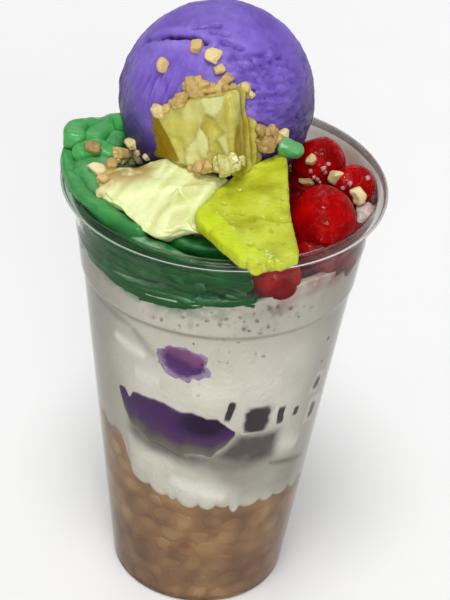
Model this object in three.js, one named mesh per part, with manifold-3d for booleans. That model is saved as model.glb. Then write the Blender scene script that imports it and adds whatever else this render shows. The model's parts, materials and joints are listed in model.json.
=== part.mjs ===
// A clear plastic cup of layered iced dessert: sweet beans, milky shaved ice, purple yam jam and dark jelly cubes
// inside it, and a heap of green jelly strips, cherries, cream, custard and a scoop of purple ice cream on top.
// Millimetres, +Z up. The origin is the middle of the cup's flat base, and the front is -Y.

import * as THREE from "three";
import { mergeVertices } from "three/addons/utils/BufferGeometryUtils.js";
import { RoundedBoxGeometry } from "three/addons/geometries/RoundedBoxGeometry.js";
import Module from "manifold-3d";

const wasm = await Module();
wasm.setup();

// Cup
const CUP_HEIGHT = 142;
const RIM_RADIUS = 47.5;
const BASE_RADIUS = 27;
const NECK_RADIUS = 44; // outside of the wall, just under the rolled rim
const LIP_RADIUS = 1.8; // half the thickness of the rolled rim
const WALL = 0.8;
const FLOOR = 1.2;
const FOOT_ROUND = 2.5;
const RING_HEIGHT = 112.5; // stacking ring, where the wall steps out
const RING_STEP = 0.6;
const CUP_SIDES = 40;

// Layers, as heights above the base
const BEAN_LEVEL = 45.5;
const BEAN_RISE = 16; // how much higher the beans stand at the left
const BEAN_SIZE = new THREE.Vector3(10.5, 6.6, 8.2); // along the wall, through it, up
const ICE_LEVEL = 124; // at the wall
const ICE_MOUND = 8; // how much higher the ice is under the scoop
const JAM_LEVEL = 77;
const JAM_THICKNESS = 18;
const JELLY_CUBE = 9.5;

// Toppings
const SCOOP_RADIUS = 28.4;
const SCOOP_CENTRE = new THREE.Vector3(-4.1, 16, 158.5);
const CHUNK_SIZE = new THREE.Vector3(29.5, 21, 18.5);
const CHUNK_CENTRE = new THREE.Vector3(-7.9, -5.1, 160.8);
const CHUNK_TAPER = 0.62; // how much taller its right end is than its left
const WEDGE_THICKNESS = 4.8;
const STRIP_RADIUS = 2.9;
const CREAM_SIZE = new THREE.Vector3(43, 27, 8.5);
const CREAM_CENTRE = new THREE.Vector3(-13.2, -22.8, 146);
const CREAM_SLOPE = 0.22;
const CREAM_YAW = -20;
const NUT_SIZE = 3.4;

const GAP = 0.3; // room between the cup and its contents
const SEAT_GAP = 0.5; // room between a piece and its seat in a softer one
const SEED = 20;
const WELD = 1e-4;
const COLOURS = {
  cup: 0xe9edec,
  beans: 0x8f6c4c,
  ice: 0xd6d3c8,
  jam: 0x4f2f68,
  darkJelly: 0x2b2030,
  scoop: 0x7a5cc0,
  chunk: 0xb5a63c,
  wedge: 0xc6d62a,
  cream: 0xe6ecb4,
  greenJelly: 0x2f8a45,
  cherry: 0xa00408,
};

const radians = THREE.MathUtils.degToRad;
const degrees = THREE.MathUtils.radToDeg;
const ease = THREE.MathUtils.smoothstep;

// Seeded random numbers from 0 to 1.
function randomFrom(seed) {
  let state = seed;
  return () => {
    state = (state + 0x6d2b79f5) | 0;
    let mixed = Math.imul(state ^ (state >>> 15), 1 | state);
    mixed = (mixed + Math.imul(mixed ^ (mixed >>> 7), 61 | mixed)) ^ mixed;
    return ((mixed ^ (mixed >>> 14)) >>> 0) / 4294967296;
  };
}

// A gentle unevenness from -1 to 1, with bumps of about the given length.
function unevenness({ x, y, z }, length) {
  const k = (2 * Math.PI) / length;
  const first = Math.sin(k * (x + 0.4 * y) + 1.3);
  const second = Math.sin(k * (0.8 * y - 0.5 * z) + 0.4);
  const third = Math.sin(k * (0.9 * z - 0.6 * x) + 2.1);
  return (first + second + third) / 3;
}

// A point at an azimuth from the front, in degrees towards +X, a radius from the cup's axis and a height.
function around(azimuth, radius, height) {
  const angle = radians(azimuth);
  return new THREE.Vector3(radius * Math.sin(angle), -radius * Math.cos(angle), height);
}

function azimuthOf({ x, y }) {
  return degrees(Math.atan2(x, -y));
}

// A point at an azimuth and an elevation, in degrees, on a ball.
function onBall(centre, radius, azimuth, elevation) {
  const rise = radians(elevation);
  return around(azimuth, radius * Math.cos(rise), radius * Math.sin(rise)).add(centre);
}

// Closed geometry to a solid that can be joined and cut.
function solidOf(geometry) {
  const bare = new THREE.BufferGeometry();
  bare.setAttribute("position", geometry.getAttribute("position").clone());
  if (geometry.index) bare.setIndex(geometry.index.clone());
  const welded = mergeVertices(bare, WELD);
  const mesh = new wasm.Mesh({
    numProp: 3,
    vertProperties: welded.getAttribute("position").array,
    triVerts: new Uint32Array(welded.index.array),
  });
  return new wasm.Manifold(mesh);
}

function geometryOf(solid) {
  const mesh = solid.getMesh();
  const geometry = new THREE.BufferGeometry();
  geometry.setAttribute("position", new THREE.BufferAttribute(mesh.vertProperties, 3));
  geometry.setIndex(new THREE.BufferAttribute(mesh.triVerts, 1));
  geometry.computeVertexNormals();
  return geometry;
}

// Moves each point by a function that depends on its place alone, so that a closed surface stays closed.
function reshape(geometry, move) {
  const points = geometry.getAttribute("position");
  const point = new THREE.Vector3();
  for (let i = 0; i < points.count; i++) {
    move(point.fromBufferAttribute(points, i));
    points.setXYZ(i, point.x, point.y, point.z);
  }
  return geometry;
}

// The solid grown outwards, for cutting its seat in a neighbour.
function grown(solid, distance = SEAT_GAP) {
  const geometry = geometryOf(solid);
  const points = geometry.getAttribute("position");
  const normals = geometry.getAttribute("normal");
  const point = new THREE.Vector3();
  const normal = new THREE.Vector3();
  for (let i = 0; i < points.count; i++) {
    normal.fromBufferAttribute(normals, i);
    point.fromBufferAttribute(points, i).addScaledVector(normal, distance);
    points.setXYZ(i, point.x, point.y, point.z);
  }
  return solidOf(geometry);
}

// The largest body of a solid, with loose scraps dropped and sealed hollows filled.
function wholeBody(solid) {
  return solid.decompose().reduce((most, body) => (body.volume() > most.volume() ? body : most));
}

function joined(pieces) {
  return wholeBody(pieces.reduce((all, piece) => all.add(piece)));
}

function cutBy(solid, ...cutters) {
  return wholeBody(cutters.reduce((rest, cutter) => rest.subtract(cutter), solid));
}

// A profile of [radius, height] points turned about the +Z axis.
function turned(profile, sides) {
  const points = profile.map(([radius, height]) => new THREE.Vector2(radius, height));
  return new THREE.LatheGeometry(points, sides).rotateX(Math.PI / 2);
}

// A ball with its poles up and down.
function ball(sides, rows) {
  return new THREE.SphereGeometry(1, sides, rows).rotateX(Math.PI / 2);
}

// A round strip along a smooth route.
function strip(route, radius, steps, sides) {
  const section = new THREE.Shape();
  for (let i = 0; i < sides; i++) {
    const angle = (2 * Math.PI * i) / sides;
    const corner = [radius * Math.cos(angle), radius * Math.sin(angle)];
    if (i === 0) section.moveTo(...corner);
    else section.lineTo(...corner);
  }
  section.closePath();
  const extrudePath = new THREE.CatmullRomCurve3(route);
  return solidOf(new THREE.ExtrudeGeometry(section, { steps, extrudePath }));
}

// A chopped nut: a crooked block at a random turn.
function nut(place, size, random) {
  const block = new THREE.BoxGeometry(size, size * (0.7 + 0.3 * random()), size * (0.8 + 0.3 * random()));
  const skew = 0.3 * (random() - 0.5);
  reshape(block, (point) => {
    point.x += skew * point.y;
    point.y *= 1 + (0.25 * point.z) / size;
  });
  block.rotateX(Math.PI * random());
  block.rotateY(Math.PI * random());
  block.rotateZ(Math.PI * random());
  return solidOf(block.translate(place.x, place.y, place.z));
}

// Cup

const NECK_HEIGHT = CUP_HEIGHT - 2 * LIP_RADIUS;
const RING_BAND = [RING_HEIGHT - 0.6, RING_HEIGHT + 0.6];

function outerRadius(height) {
  const slope = (NECK_RADIUS - RING_STEP - BASE_RADIUS) / NECK_HEIGHT;
  return BASE_RADIUS + slope * height + RING_STEP * ease(height, ...RING_BAND);
}

function innerRadius(height) {
  return outerRadius(height) - WALL;
}

function fillRadius(height) {
  return innerRadius(height) - GAP;
}

// Points on an arc of a profile, angles in degrees from outwards to upwards.
function arc(centreRadius, centreHeight, radius, from, to, steps) {
  return Array.from({ length: steps + 1 }, (_, i) => {
    const angle = radians(from + ((to - from) * i) / steps);
    return [centreRadius + radius * Math.cos(angle), centreHeight + radius * Math.sin(angle)];
  });
}

function makeCup() {
  const [ringFoot, ringTop] = RING_BAND;
  const insideFoot = FLOOR + FOOT_ROUND;
  const profile = [
    [0, 0],
    ...arc(outerRadius(FOOT_ROUND) - FOOT_ROUND, FOOT_ROUND, FOOT_ROUND, -90, 0, 2),
    [outerRadius(ringFoot), ringFoot],
    [outerRadius(ringTop), ringTop],
    [outerRadius(NECK_HEIGHT), NECK_HEIGHT],
    ...arc(RIM_RADIUS - LIP_RADIUS, CUP_HEIGHT - LIP_RADIUS, LIP_RADIUS, -70, 110, 5),
    [innerRadius(NECK_HEIGHT), NECK_HEIGHT],
    [innerRadius(ringTop), ringTop],
    [innerRadius(ringFoot), ringFoot],
    ...arc(innerRadius(insideFoot) - FOOT_ROUND, insideFoot, FOOT_ROUND, 0, -90, 2),
    [0, FLOOR],
  ];
  return solidOf(turned(profile, CUP_SIDES));
}

// Everything outside the room for the contents, up to just above the rim.
function makeSurround() {
  const [ringFoot, ringTop] = RING_BAND;
  const far = 2 * RIM_RADIUS;
  const top = CUP_HEIGHT + GAP;
  const insideFoot = FLOOR + GAP + FOOT_ROUND;
  const profile = [
    [0, -FLOOR],
    [far, -FLOOR],
    [far, top],
    [fillRadius(NECK_HEIGHT), top],
    [fillRadius(NECK_HEIGHT), NECK_HEIGHT],
    [fillRadius(ringTop), ringTop],
    [fillRadius(ringFoot), ringFoot],
    ...arc(fillRadius(insideFoot) - FOOT_ROUND, insideFoot, FOOT_ROUND, 0, -90, 2),
    [0, FLOOR + GAP],
  ];
  return solidOf(turned(profile, CUP_SIDES));
}

// Beans: a heap of plump pieces against the wall over a plain core

function beanTop(place) {
  const spread = 7 * ease(place.y, 0, 15); // the rise is steep at the front left and gentle at the back
  const leftRise = BEAN_RISE * ease(-place.x, 19 - spread, 25 + spread);
  return BEAN_LEVEL - 0.06 * place.x + 0.07 * place.y + leftRise;
}

function makeBean(azimuth, height, random) {
  const bean = new THREE.IcosahedronGeometry(0.55, 0);
  bean.scale(BEAN_SIZE.x * (0.85 + 0.3 * random()), BEAN_SIZE.y, BEAN_SIZE.z);
  bean.rotateY(radians(80 * (random() - 0.5)));
  bean.rotateZ(radians(azimuth));
  const place = around(azimuth, fillRadius(height - BEAN_SIZE.z / 2) - BEAN_SIZE.y / 2, height);
  return solidOf(bean.translate(place.x, place.y, place.z));
}

function makeBeans(surround) {
  const random = randomFrom(SEED);
  const rows = 5;
  const coreInset = 4.4;
  const low = FLOOR + GAP;
  const shoulder = BEAN_LEVEL - 2;
  const profile = [
    [0, low],
    [fillRadius(low) - FOOT_ROUND, low],
    [fillRadius(low + 4) - coreInset, low + 4],
    [fillRadius(shoulder) - coreInset, shoulder],
    [0, shoulder],
  ];
  const core = reshape(turned(profile, 20), (place) => {
    if (place.z > BEAN_LEVEL / 2) place.z += beanTop(place) - BEAN_LEVEL;
  });
  const beans = [];
  for (let row = 0; row < rows; row++) {
    const share = row / (rows - 1);
    const count = Math.round(11 + 2 * share);
    for (let i = 0; i < count; i++) {
      const azimuth = (360 * (i + 0.5 * (row % 2) + 0.25 * random())) / count;
      const level = beanTop(around(azimuth, fillRadius(BEAN_LEVEL), 0));
      const height = THREE.MathUtils.lerp(6.2, level - 0.6 * BEAN_SIZE.z, share);
      beans.push(makeBean(azimuth, height + 0.8 * (random() - 0.5), random));
    }
  }
  return cutBy(joined([solidOf(core), ...beans]), surround);
}

// Milky shaved ice, from the beans up to the mound under the toppings

function iceTop(place) {
  const fromScoop = Math.hypot(place.x - SCOOP_CENTRE.x, place.y - 0.5 * SCOOP_CENTRE.y);
  const mound = ICE_MOUND * (1 - ease(fromScoop, 8, 40));
  return ICE_LEVEL + mound + 0.9 * unevenness({ x: place.x, y: place.y, z: 0 }, 19);
}

function makeIce() {
  const over = 3;
  const profile = [
    [0, BEAN_LEVEL],
    [fillRadius(BEAN_LEVEL) + over, BEAN_LEVEL],
    [fillRadius(ICE_LEVEL) + over, ICE_LEVEL],
    [fillRadius(ICE_LEVEL) * 0.7, ICE_LEVEL],
    [fillRadius(ICE_LEVEL) * 0.4, ICE_LEVEL],
    [0, ICE_LEVEL],
  ];
  const ice = reshape(turned(profile, 24), (place) => {
    const nearTop = place.z > (BEAN_LEVEL + ICE_LEVEL) / 2;
    place.z += nearTop ? iceTop(place) - ICE_LEVEL : beanTop(place) - BEAN_LEVEL + SEAT_GAP;
  });
  return solidOf(ice);
}

// Purple yam jam: a sagging slab across the cup that reaches the wall at the front left and at the back

function makeJam() {
  const half = JAM_THICKNESS / 2;
  const far = fillRadius(JAM_LEVEL) + 2;
  const profile = [
    [0, -half],
    [far, -half],
    [far, half],
    [0, half],
  ];
  const slab = reshape(turned(profile, 30), (place) => {
    const azimuth = azimuthOf(place);
    const front = 1 - ease(Math.abs(azimuth + 17), 12, 42);
    const back = 1 - ease(180 - Math.abs(azimuth), 20, 60);
    const edge = Math.hypot(place.x, place.y) > far / 2 ? Math.max(front, back) : 0.6;
    const reach = 0.82 + 0.18 * Math.max(front, back);
    const sag = 4.5 * ease(azimuth, -30, 5) * front;
    place.set(place.x * reach, place.y * reach, place.z * (0.35 + 0.65 * edge));
    place.z += JAM_LEVEL - sag - 0.06 * place.x;
  });
  return solidOf(slab);
}

// Lumps of jam caught in the ice at the wall, as [azimuth, height, width, depth up]
const JAM_LUMPS = [
  [-11.5, 100.5, 16, 13],
  [96, 95, 13, 10],
  [-118, 104, 12, 11],
];

function makeJamLump([azimuth, height, width, tall]) {
  const lump = new THREE.IcosahedronGeometry(0.5, 1);
  reshape(lump, (place) => place.multiplyScalar(1 + 0.16 * unevenness(place, 0.6)));
  lump.scale(width, 0.8 * width, tall);
  lump.rotateY(radians(20));
  lump.rotateZ(radians(azimuth));
  const place = around(azimuth, fillRadius(height) - 0.3 * width, height);
  return solidOf(lump.translate(place.x, place.y, place.z));
}

// Dark jelly cubes at the wall, as [azimuth, height, share of the full width]
const JELLY_CUBES = [
  [9.5, 84, 0.4],
  [24.5, 80.5, 1],
  [38.5, 79.5, 0.35],
  [138, 93, 1],
  [-92, 91, 1],
  [115, 82, 0.8],
];

function makeJellyCube([azimuth, height, share]) {
  const depth = JELLY_CUBE * (0.5 + 0.5 * share);
  const cube = new THREE.BoxGeometry(JELLY_CUBE * share, depth, JELLY_CUBE * 1.1);
  cube.rotateX(radians(8));
  cube.rotateY(radians(6));
  cube.rotateZ(radians(azimuth));
  const place = around(azimuth, fillRadius(height) - 0.4 * depth, height);
  return solidOf(cube.translate(place.x, place.y, place.z));
}

// Scoop of purple ice cream, flatter at the back left shoulder and torn at the upper left

const SCOOP_NUTS = [
  [-44, 38, 1],
  [-23, 55, 1],
  [-6, 52, 1.1],
  [1, 43, 0.9],
  [-21, 33, 1.5],
  [-10, 34, 1.5],
  [5, 35, 1.2],
  [29, 12, 1.3],
  [32, 4, 1.4],
  [37, 13, 1.2],
]; // as [azimuth, elevation, share of a nut's size]

function makeScoop() {
  const shoulder = onBall(new THREE.Vector3(), 1, -119, 36);
  const scoop = reshape(ball(22, 15), (place) => {
    const flat = 0.055 * ease(place.dot(shoulder), 0.55, 1);
    const skirt = 0.015 * Math.exp(-(((place.z + 0.5) / 0.25) ** 2));
    const rough = 0.008 * unevenness(place, 0.7);
    place.multiplyScalar(SCOOP_RADIUS * (1 - flat + skirt + rough)).add(SCOOP_CENTRE);
  });
  const tearRoute = [-66, -48, -30, -14].map((azimuth, i) =>
    onBall(SCOOP_CENTRE, SCOOP_RADIUS + 0.2, azimuth, 56 + 2 * (i % 2)),
  );
  return cutBy(solidOf(scoop), strip(tearRoute, 1.3, 8, 5));
}

function withScoopNuts(scoop) {
  const random = randomFrom(SEED + 1);
  const nuts = SCOOP_NUTS.map(([azimuth, elevation, share]) =>
    nut(onBall(SCOOP_CENTRE, SCOOP_RADIUS + 0.8, azimuth, elevation), NUT_SIZE * share, random),
  );
  return joined([scoop, ...nuts]);
}

// Room for the scoop with all its unevenness.
function makeScoopSeat() {
  const seat = ball(20, 14);
  const radius = SCOOP_RADIUS * 1.03 + SEAT_GAP;
  return solidOf(reshape(seat, (place) => place.multiplyScalar(radius).add(SCOOP_CENTRE)));
}

// Golden custard chunk pressed into the front of the scoop, with crumbs of nut along its top

const CHUNK_TURN = new THREE.Euler(radians(-8), radians(-13), radians(-20), "ZYX");
const CHUNK_FRAME = new THREE.Matrix4().makeRotationFromEuler(CHUNK_TURN).setPosition(CHUNK_CENTRE);

function chunkStretch(place) {
  return 1 + (CHUNK_TAPER * place.x) / CHUNK_SIZE.x;
}

// A place on the chunk's top edge, from its left end at 0 to its right end at 1.
function onChunkTop(share, inwards, rise) {
  const place = new THREE.Vector3(0.94 * CHUNK_SIZE.x * (share - 0.5), inwards, 0);
  place.z = (CHUNK_SIZE.z / 2) * chunkStretch(place) + rise;
  return place.applyMatrix4(CHUNK_FRAME);
}

// The baked face at the left front, as the way it faces and how far it lies from the chunk's middle
const BAKED_WAY = new THREE.Vector3(-0.5, -0.85, -0.2).normalize();
const BAKED_REACH = 11.6;

function makeChunkBlock() {
  const block = reshape(new RoundedBoxGeometry(...CHUNK_SIZE, 2, 2.2), (place) => {
    place.z *= chunkStretch(place);
    place.y += 0.5 * unevenness(place, 9);
  });
  const depth = CHUNK_SIZE.x;
  const cutter = new THREE.BoxGeometry(depth, depth, 2 * depth).translate(depth / 2 + BAKED_REACH, 0, 0);
  cutter.applyQuaternion(new THREE.Quaternion().setFromUnitVectors(new THREE.Vector3(1, 0, 0), BAKED_WAY));
  const [solid, baked] = [block, cutter].map((geometry) => solidOf(geometry.applyMatrix4(CHUNK_FRAME)));
  return cutBy(solid, baked);
}

function withChunkNuts(block) {
  const random = randomFrom(SEED + 2);
  const count = 8;
  const nuts = Array.from({ length: count }, (_, i) => {
    const place = onChunkTop(i / (count - 1), 1.5 * random() - 6.8, 0.8);
    return nut(place, NUT_SIZE * (0.9 + 0.4 * random()), random);
  });
  return joined([block, ...nuts]);
}

// Room for the chunk and the row of nuts along its top.
function makeChunkSeat(block) {
  const row = strip([onChunkTop(-0.1, -6, 1), onChunkTop(1.1, -6, 1)], NUT_SIZE * 1.15, 1, 8);
  return joined([grown(block), row]);
}

// Custard wedge: a flat slice that leans from the middle of the heap out over the rim

const WEDGE_APEX = new THREE.Vector3(17, -3.7, 154.1);
const WEDGE_LEFT = new THREE.Vector3(-8.8, -33.8, 148.9);
const WEDGE_RIGHT = new THREE.Vector3(21.8, -49.2, 147.9);
const WEDGE_FRONT = { left: 0.45, right: 0.84 }; // the front corner, as shares of the two long edges
const WEDGE_BOW = { left: [0.4, 3.2], right: [0.62, 1.4] }; // where each edge bows to the left and how far

function makeWedge() {
  const toLeft = WEDGE_LEFT.clone().sub(WEDGE_APEX);
  const toRight = WEDGE_RIGHT.clone().sub(WEDGE_APEX);
  const along = toRight.clone().normalize();
  const up = toLeft.clone().cross(toRight).normalize();
  const across = up.clone().cross(along);
  const flat = (offset) => new THREE.Vector2(offset.dot(along), offset.dot(across));
  const front = toLeft.clone().multiplyScalar(WEDGE_FRONT.left).addScaledVector(toRight, WEDGE_FRONT.right);
  const [apex, left, tip, right] = [new THREE.Vector3(), toLeft, front, toRight].map(flat);
  const bowed = (edge, [share, out]) =>
    edge.clone().multiplyScalar(share).add(new THREE.Vector2(edge.y, -edge.x).setLength(out));
  const corners = [apex, bowed(left, WEDGE_BOW.left), left, tip, right, bowed(right, WEDGE_BOW.right)];
  const bevel = 0.9;
  const round = 0.2;
  const outline = new THREE.Shape();
  corners.forEach((corner, i) => {
    const start = corner.clone().lerp(corners.at(i - 1), round);
    const end = corner.clone().lerp(corners[(i + 1) % corners.length], round);
    if (i === 0) outline.moveTo(start.x, start.y);
    else outline.lineTo(start.x, start.y);
    outline.quadraticCurveTo(corner.x, corner.y, end.x, end.y);
  });
  outline.closePath();
  const slice = new THREE.ExtrudeGeometry(outline, {
    depth: WEDGE_THICKNESS - 2 * bevel,
    bevelSize: bevel,
    bevelOffset: -bevel,
    bevelThickness: bevel,
    bevelSegments: 2,
    curveSegments: 4,
  });
  slice.translate(0, 0, bevel - WEDGE_THICKNESS);
  return solidOf(slice.applyMatrix4(new THREE.Matrix4().makeBasis(along, across, up).setPosition(WEDGE_APEX)));
}

// Cherries at the right and at the front wall, some with a nut as [azimuth, elevation, share of a nut's size]
const CHERRIES = {
  cherry_front: { place: new THREE.Vector3(28.4, -17, 140), radius: 9.5, nut: [-30, 64, 0.9] },
  cherry_back: { place: new THREE.Vector3(27.8, 12.6, 140.6), radius: 7.6, nut: [-10, 38, 1.1] },
  cherry_right: { place: new THREE.Vector3(37.6, 1.6, 140.6), radius: 6, nut: [-30, 35, 1.2] },
  cherry_low: { place: new THREE.Vector3(13.9, -31, 128.6), radius: 7.6 },
  cherry_side: { place: new THREE.Vector3(34, -14.2, 127.6), radius: 4.7 },
};

function makeCherry({ place, radius }) {
  const fruit = reshape(ball(12, 9), (point) => {
    const dimple = 0.1 * Math.exp(-(((1 - point.z) / 0.1) ** 2));
    point.multiplyScalar(radius * (1 - dimple + 0.03 * unevenness(point, 1.6))).add(place);
  });
  return solidOf(fruit);
}

function withCherryNut(cherry, { place, radius, nut: spot }) {
  if (!spot) return cherry;
  const [azimuth, elevation, share] = spot;
  return joined([cherry, nut(onBall(place, radius, azimuth, elevation), NUT_SIZE * share, randomFrom(SEED + radius))]);
}

function makeCherrySeat({ place, radius }) {
  const seat = new THREE.IcosahedronGeometry(1.12 * radius + SEAT_GAP, 1);
  return solidOf(seat.translate(place.x, place.y, place.z));
}

// Green jelly strips, piled along the left wall and over the rim on a core of packed strips

// Routes of the strips, each from the start to the end, as [azimuth, radius, height]
const STRIPS = [
  [[-116, 41, 144.5], [-98, 43.4, 147.5], [-78, 43.8, 145.4]],
  [[-132, 30, 143], [-108, 36, 148.5], [-84, 43.2, 150.6]],
  [[-88, 30, 146], [-92, 37, 149], [-95, 43, 146]],
  [[-70, 34, 144], [-80, 39, 147.5], [-92, 43.6, 148]],
  [[-90, 40, 141.2], [-65, 39.6, 142.2], [-38, 38.6, 141]],
  [[-98, 39.2, 138], [-50, 39.2, 135.5], [-6, 38.8, 133]],
  [[-82, 38.8, 132.4], [-40, 38.6, 129.6], [2, 38.3, 126.6]],
  [[-56, 38.2, 126.4], [-32, 38, 123.6], [-8, 37.8, 122.2]],
  [[-34, 38.8, 139], [-12, 38.8, 138.4], [10, 37, 136.5]],
  [[-164, 36, 131], [-132, 38.2, 134.5], [-96, 38.6, 132]],
  [[-168, 35.5, 138], [-140, 37.6, 142.4], [-112, 37, 143.6]],
];
const STRIP_NUTS = [
  [-91, 38, 152.2],
  [-80, 33, 148.6],
]; // as [azimuth, radius, height]

function makeGreenJelly(...keepOut) {
  const random = randomFrom(SEED + 4);
  const coreRoute = [-152, -116, -80, -44, -12].map((azimuth) => around(azimuth, 32.5, 133));
  const heapRoute = [-128, -104, -80, -56].map((azimuth) => around(azimuth, 36, 142));
  const core = strip(coreRoute, 7.8, 6, 7);
  const heap = strip(heapRoute, 4.6, 4, 6);
  const strips = STRIPS.map((route) => strip(route.map((spot) => around(...spot)), STRIP_RADIUS, 4, 6));
  const nuts = STRIP_NUTS.map((spot) => nut(around(...spot), NUT_SIZE, random));
  return cutBy(joined([core, heap, ...strips, ...nuts]), ...keepOut);
}

// A loose end of green jelly behind the wedge's apex
function makeJellyEnd(...keepOut) {
  const end = new THREE.CapsuleGeometry(2.5, 3.2, 2, 8);
  end.rotateZ(radians(80));
  return cutBy(solidOf(end.translate(17.6, -7, 156.3)), ...keepOut);
}

// Cream: a thick spoonful that slopes from the foot of the scoop to the front left rim

const CREAM_NUTS = [
  [-31.5, -21, 147.2],
  [-28.5, -17.5, 149.6],
  [-26.5, -13, 150.5],
  [-22.5, -10.5, 151.4],
  [-3, -13.5, 151.6],
];

function makeCream() {
  const dollop = reshape(ball(18, 11), (place) => {
    const fold = 0.05 * Math.sin(5 * place.x + 3 * place.y) + 0.04 * unevenness(place, 0.9);
    const deep = place.z < 0 ? 2.2 : 1;
    place.multiplyScalar(0.5 + fold).multiply(CREAM_SIZE);
    place.z = place.z * deep + CREAM_SLOPE * place.y;
  });
  dollop.rotateZ(radians(CREAM_YAW));
  return solidOf(dollop.translate(...CREAM_CENTRE));
}

function withCreamNuts(cream, ...keepOut) {
  const random = randomFrom(SEED + 5);
  const nuts = CREAM_NUTS.map((spot) => nut(new THREE.Vector3(...spot), NUT_SIZE * 1.1, random));
  return cutBy(joined([cream, ...nuts]), ...keepOut);
}

// Assembly: firm pieces keep their shape, and the softer ones are cut round them

const surround = makeSurround();
const scoopSeat = makeScoopSeat();
const wedge = makeWedge();
const wedgeSeat = grown(wedge);
const chunkBlock = makeChunkBlock();
const chunk = cutBy(withChunkNuts(chunkBlock), wedgeSeat);
const chunkSeat = makeChunkSeat(chunkBlock);
const scoop = cutBy(withScoopNuts(makeScoop()), chunkSeat, wedgeSeat);
const cherries = Object.entries(CHERRIES).map(([name, cherry]) => {
  const fruit = cutBy(makeCherry(cherry), surround);
  return { name, solid: withCherryNut(fruit, cherry), seat: makeCherrySeat(cherry) };
});
const cherrySeats = cherries.map((cherry) => cherry.seat);
const jellyEnd = makeJellyEnd(wedgeSeat, grown(scoop));
const greenJelly = makeGreenJelly(surround, scoopSeat, wedgeSeat, ...cherrySeats);
const greenSeat = grown(greenJelly);
const cream = withCreamNuts(makeCream(), surround, scoopSeat, wedgeSeat, chunkSeat, greenSeat, ...cherrySeats);
const creamSeat = grown(cream);
const beans = makeBeans(surround);

const jamSlab = makeJam();
const jamLumps = JAM_LUMPS.map(makeJamLump);
const jellyCubes = JELLY_CUBES.map(makeJellyCube);
const cubeSeats = jellyCubes.map((cube) => grown(cube));
const sunkSeats = [jamSlab, ...jamLumps].map((piece) => grown(piece)).concat(cubeSeats, grown(beans), beans);
const ice = cutBy(makeIce(), surround, scoopSeat, ...cherrySeats, greenSeat, creamSeat, ...sunkSeats);
const jam = cutBy(jamSlab, surround, ...cubeSeats);

const dessert = new THREE.Group();

function add(name, solid, color, roughness, extra = {}) {
  const material = new THREE.MeshStandardMaterial({ color, roughness, metalness: 0, ...extra });
  const mesh = new THREE.Mesh(geometryOf(solid), material);
  mesh.name = name;
  dessert.add(mesh);
}

add("cup", makeCup(), COLOURS.cup, 0.08, { transparent: true, opacity: 0.3 });
add("beans", beans, COLOURS.beans, 0.5);
add("shaved_ice", ice, COLOURS.ice, 0.6);
add("yam_jam", jam, COLOURS.jam, 0.45);
jamLumps.forEach((lump, i) => add(`jam_lump_${i + 1}`, cutBy(lump, surround), COLOURS.jam, 0.45));
jellyCubes.forEach((cube, i) => add(`dark_jelly_${i + 1}`, cutBy(cube, surround), COLOURS.darkJelly, 0.2));
add("green_jelly", greenJelly, COLOURS.greenJelly, 0.2);
add("green_jelly_end", jellyEnd, COLOURS.greenJelly, 0.2);
cherries.forEach(({ name, solid }) => add(name, solid, COLOURS.cherry, 0.15));
add("cream", cream, COLOURS.cream, 0.5);
add("custard_wedge", wedge, COLOURS.wedge, 0.45);
add("custard_chunk", chunk, COLOURS.chunk, 0.2);
add("scoop", scoop, COLOURS.scoop, 0.6);

export default dessert;
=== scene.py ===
import json
import math
import random

import bmesh
import bpy
import numpy as np
from mathutils import Euler, Matrix, Vector, noise
from mathutils.bvhtree import BVHTree

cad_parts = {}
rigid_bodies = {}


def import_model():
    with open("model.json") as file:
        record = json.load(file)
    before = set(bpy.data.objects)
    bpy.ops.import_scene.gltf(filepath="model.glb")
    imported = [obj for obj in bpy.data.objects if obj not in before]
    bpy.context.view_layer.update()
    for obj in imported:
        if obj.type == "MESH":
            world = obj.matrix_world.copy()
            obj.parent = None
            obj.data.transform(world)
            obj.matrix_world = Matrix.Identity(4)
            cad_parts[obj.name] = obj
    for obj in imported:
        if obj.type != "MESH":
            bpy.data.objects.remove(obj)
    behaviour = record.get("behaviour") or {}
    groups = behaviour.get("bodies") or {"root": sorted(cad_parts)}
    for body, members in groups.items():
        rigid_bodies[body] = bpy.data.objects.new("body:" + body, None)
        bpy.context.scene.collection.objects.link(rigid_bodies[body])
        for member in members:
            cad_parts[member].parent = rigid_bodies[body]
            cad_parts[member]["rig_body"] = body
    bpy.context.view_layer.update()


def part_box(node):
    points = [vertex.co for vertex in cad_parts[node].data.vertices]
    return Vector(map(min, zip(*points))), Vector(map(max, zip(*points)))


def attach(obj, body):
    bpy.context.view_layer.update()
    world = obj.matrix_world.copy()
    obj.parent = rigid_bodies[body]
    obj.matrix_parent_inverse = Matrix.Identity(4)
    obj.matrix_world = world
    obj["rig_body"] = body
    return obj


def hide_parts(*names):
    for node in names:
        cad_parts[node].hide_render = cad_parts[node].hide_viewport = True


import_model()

# Table, lamps and camera
# A pale table under soft studio lamps: one above, one in front at the right and a weaker one behind.
# The camera stands in front of the cup, looks down on it and is rolled a little. Sizes are millimetres.
MM = 0.001
CAMERA_PLACE = Vector((0.0, -504.8, 439.0))
CAMERA_AIM = Vector((2.82, 0.0, 98.37))
CAMERA_ROLL = math.radians(4.531)
PHOTO_SIZE = (450, 600)
FOCAL_PIXELS = 2024.1
SENSOR = 36.0
TABLE_RADIUS = 2600.0
TABLE_SIDES = 96
# Each lamp as the way to it from the cup, how wide it looks in degrees, and its power
LAMPS = {
    "top_lamp": ((-50, -240, 760), 24, 1.75),
    "front_lamp": ((90, -740, 330), 30, 1.05),
    "back_lamp": ((-120, 620, 560), 40, 0.4),
}
SKY_LIGHT = 0.27
SKY_COLOUR = 0xFBFCFF


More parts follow.
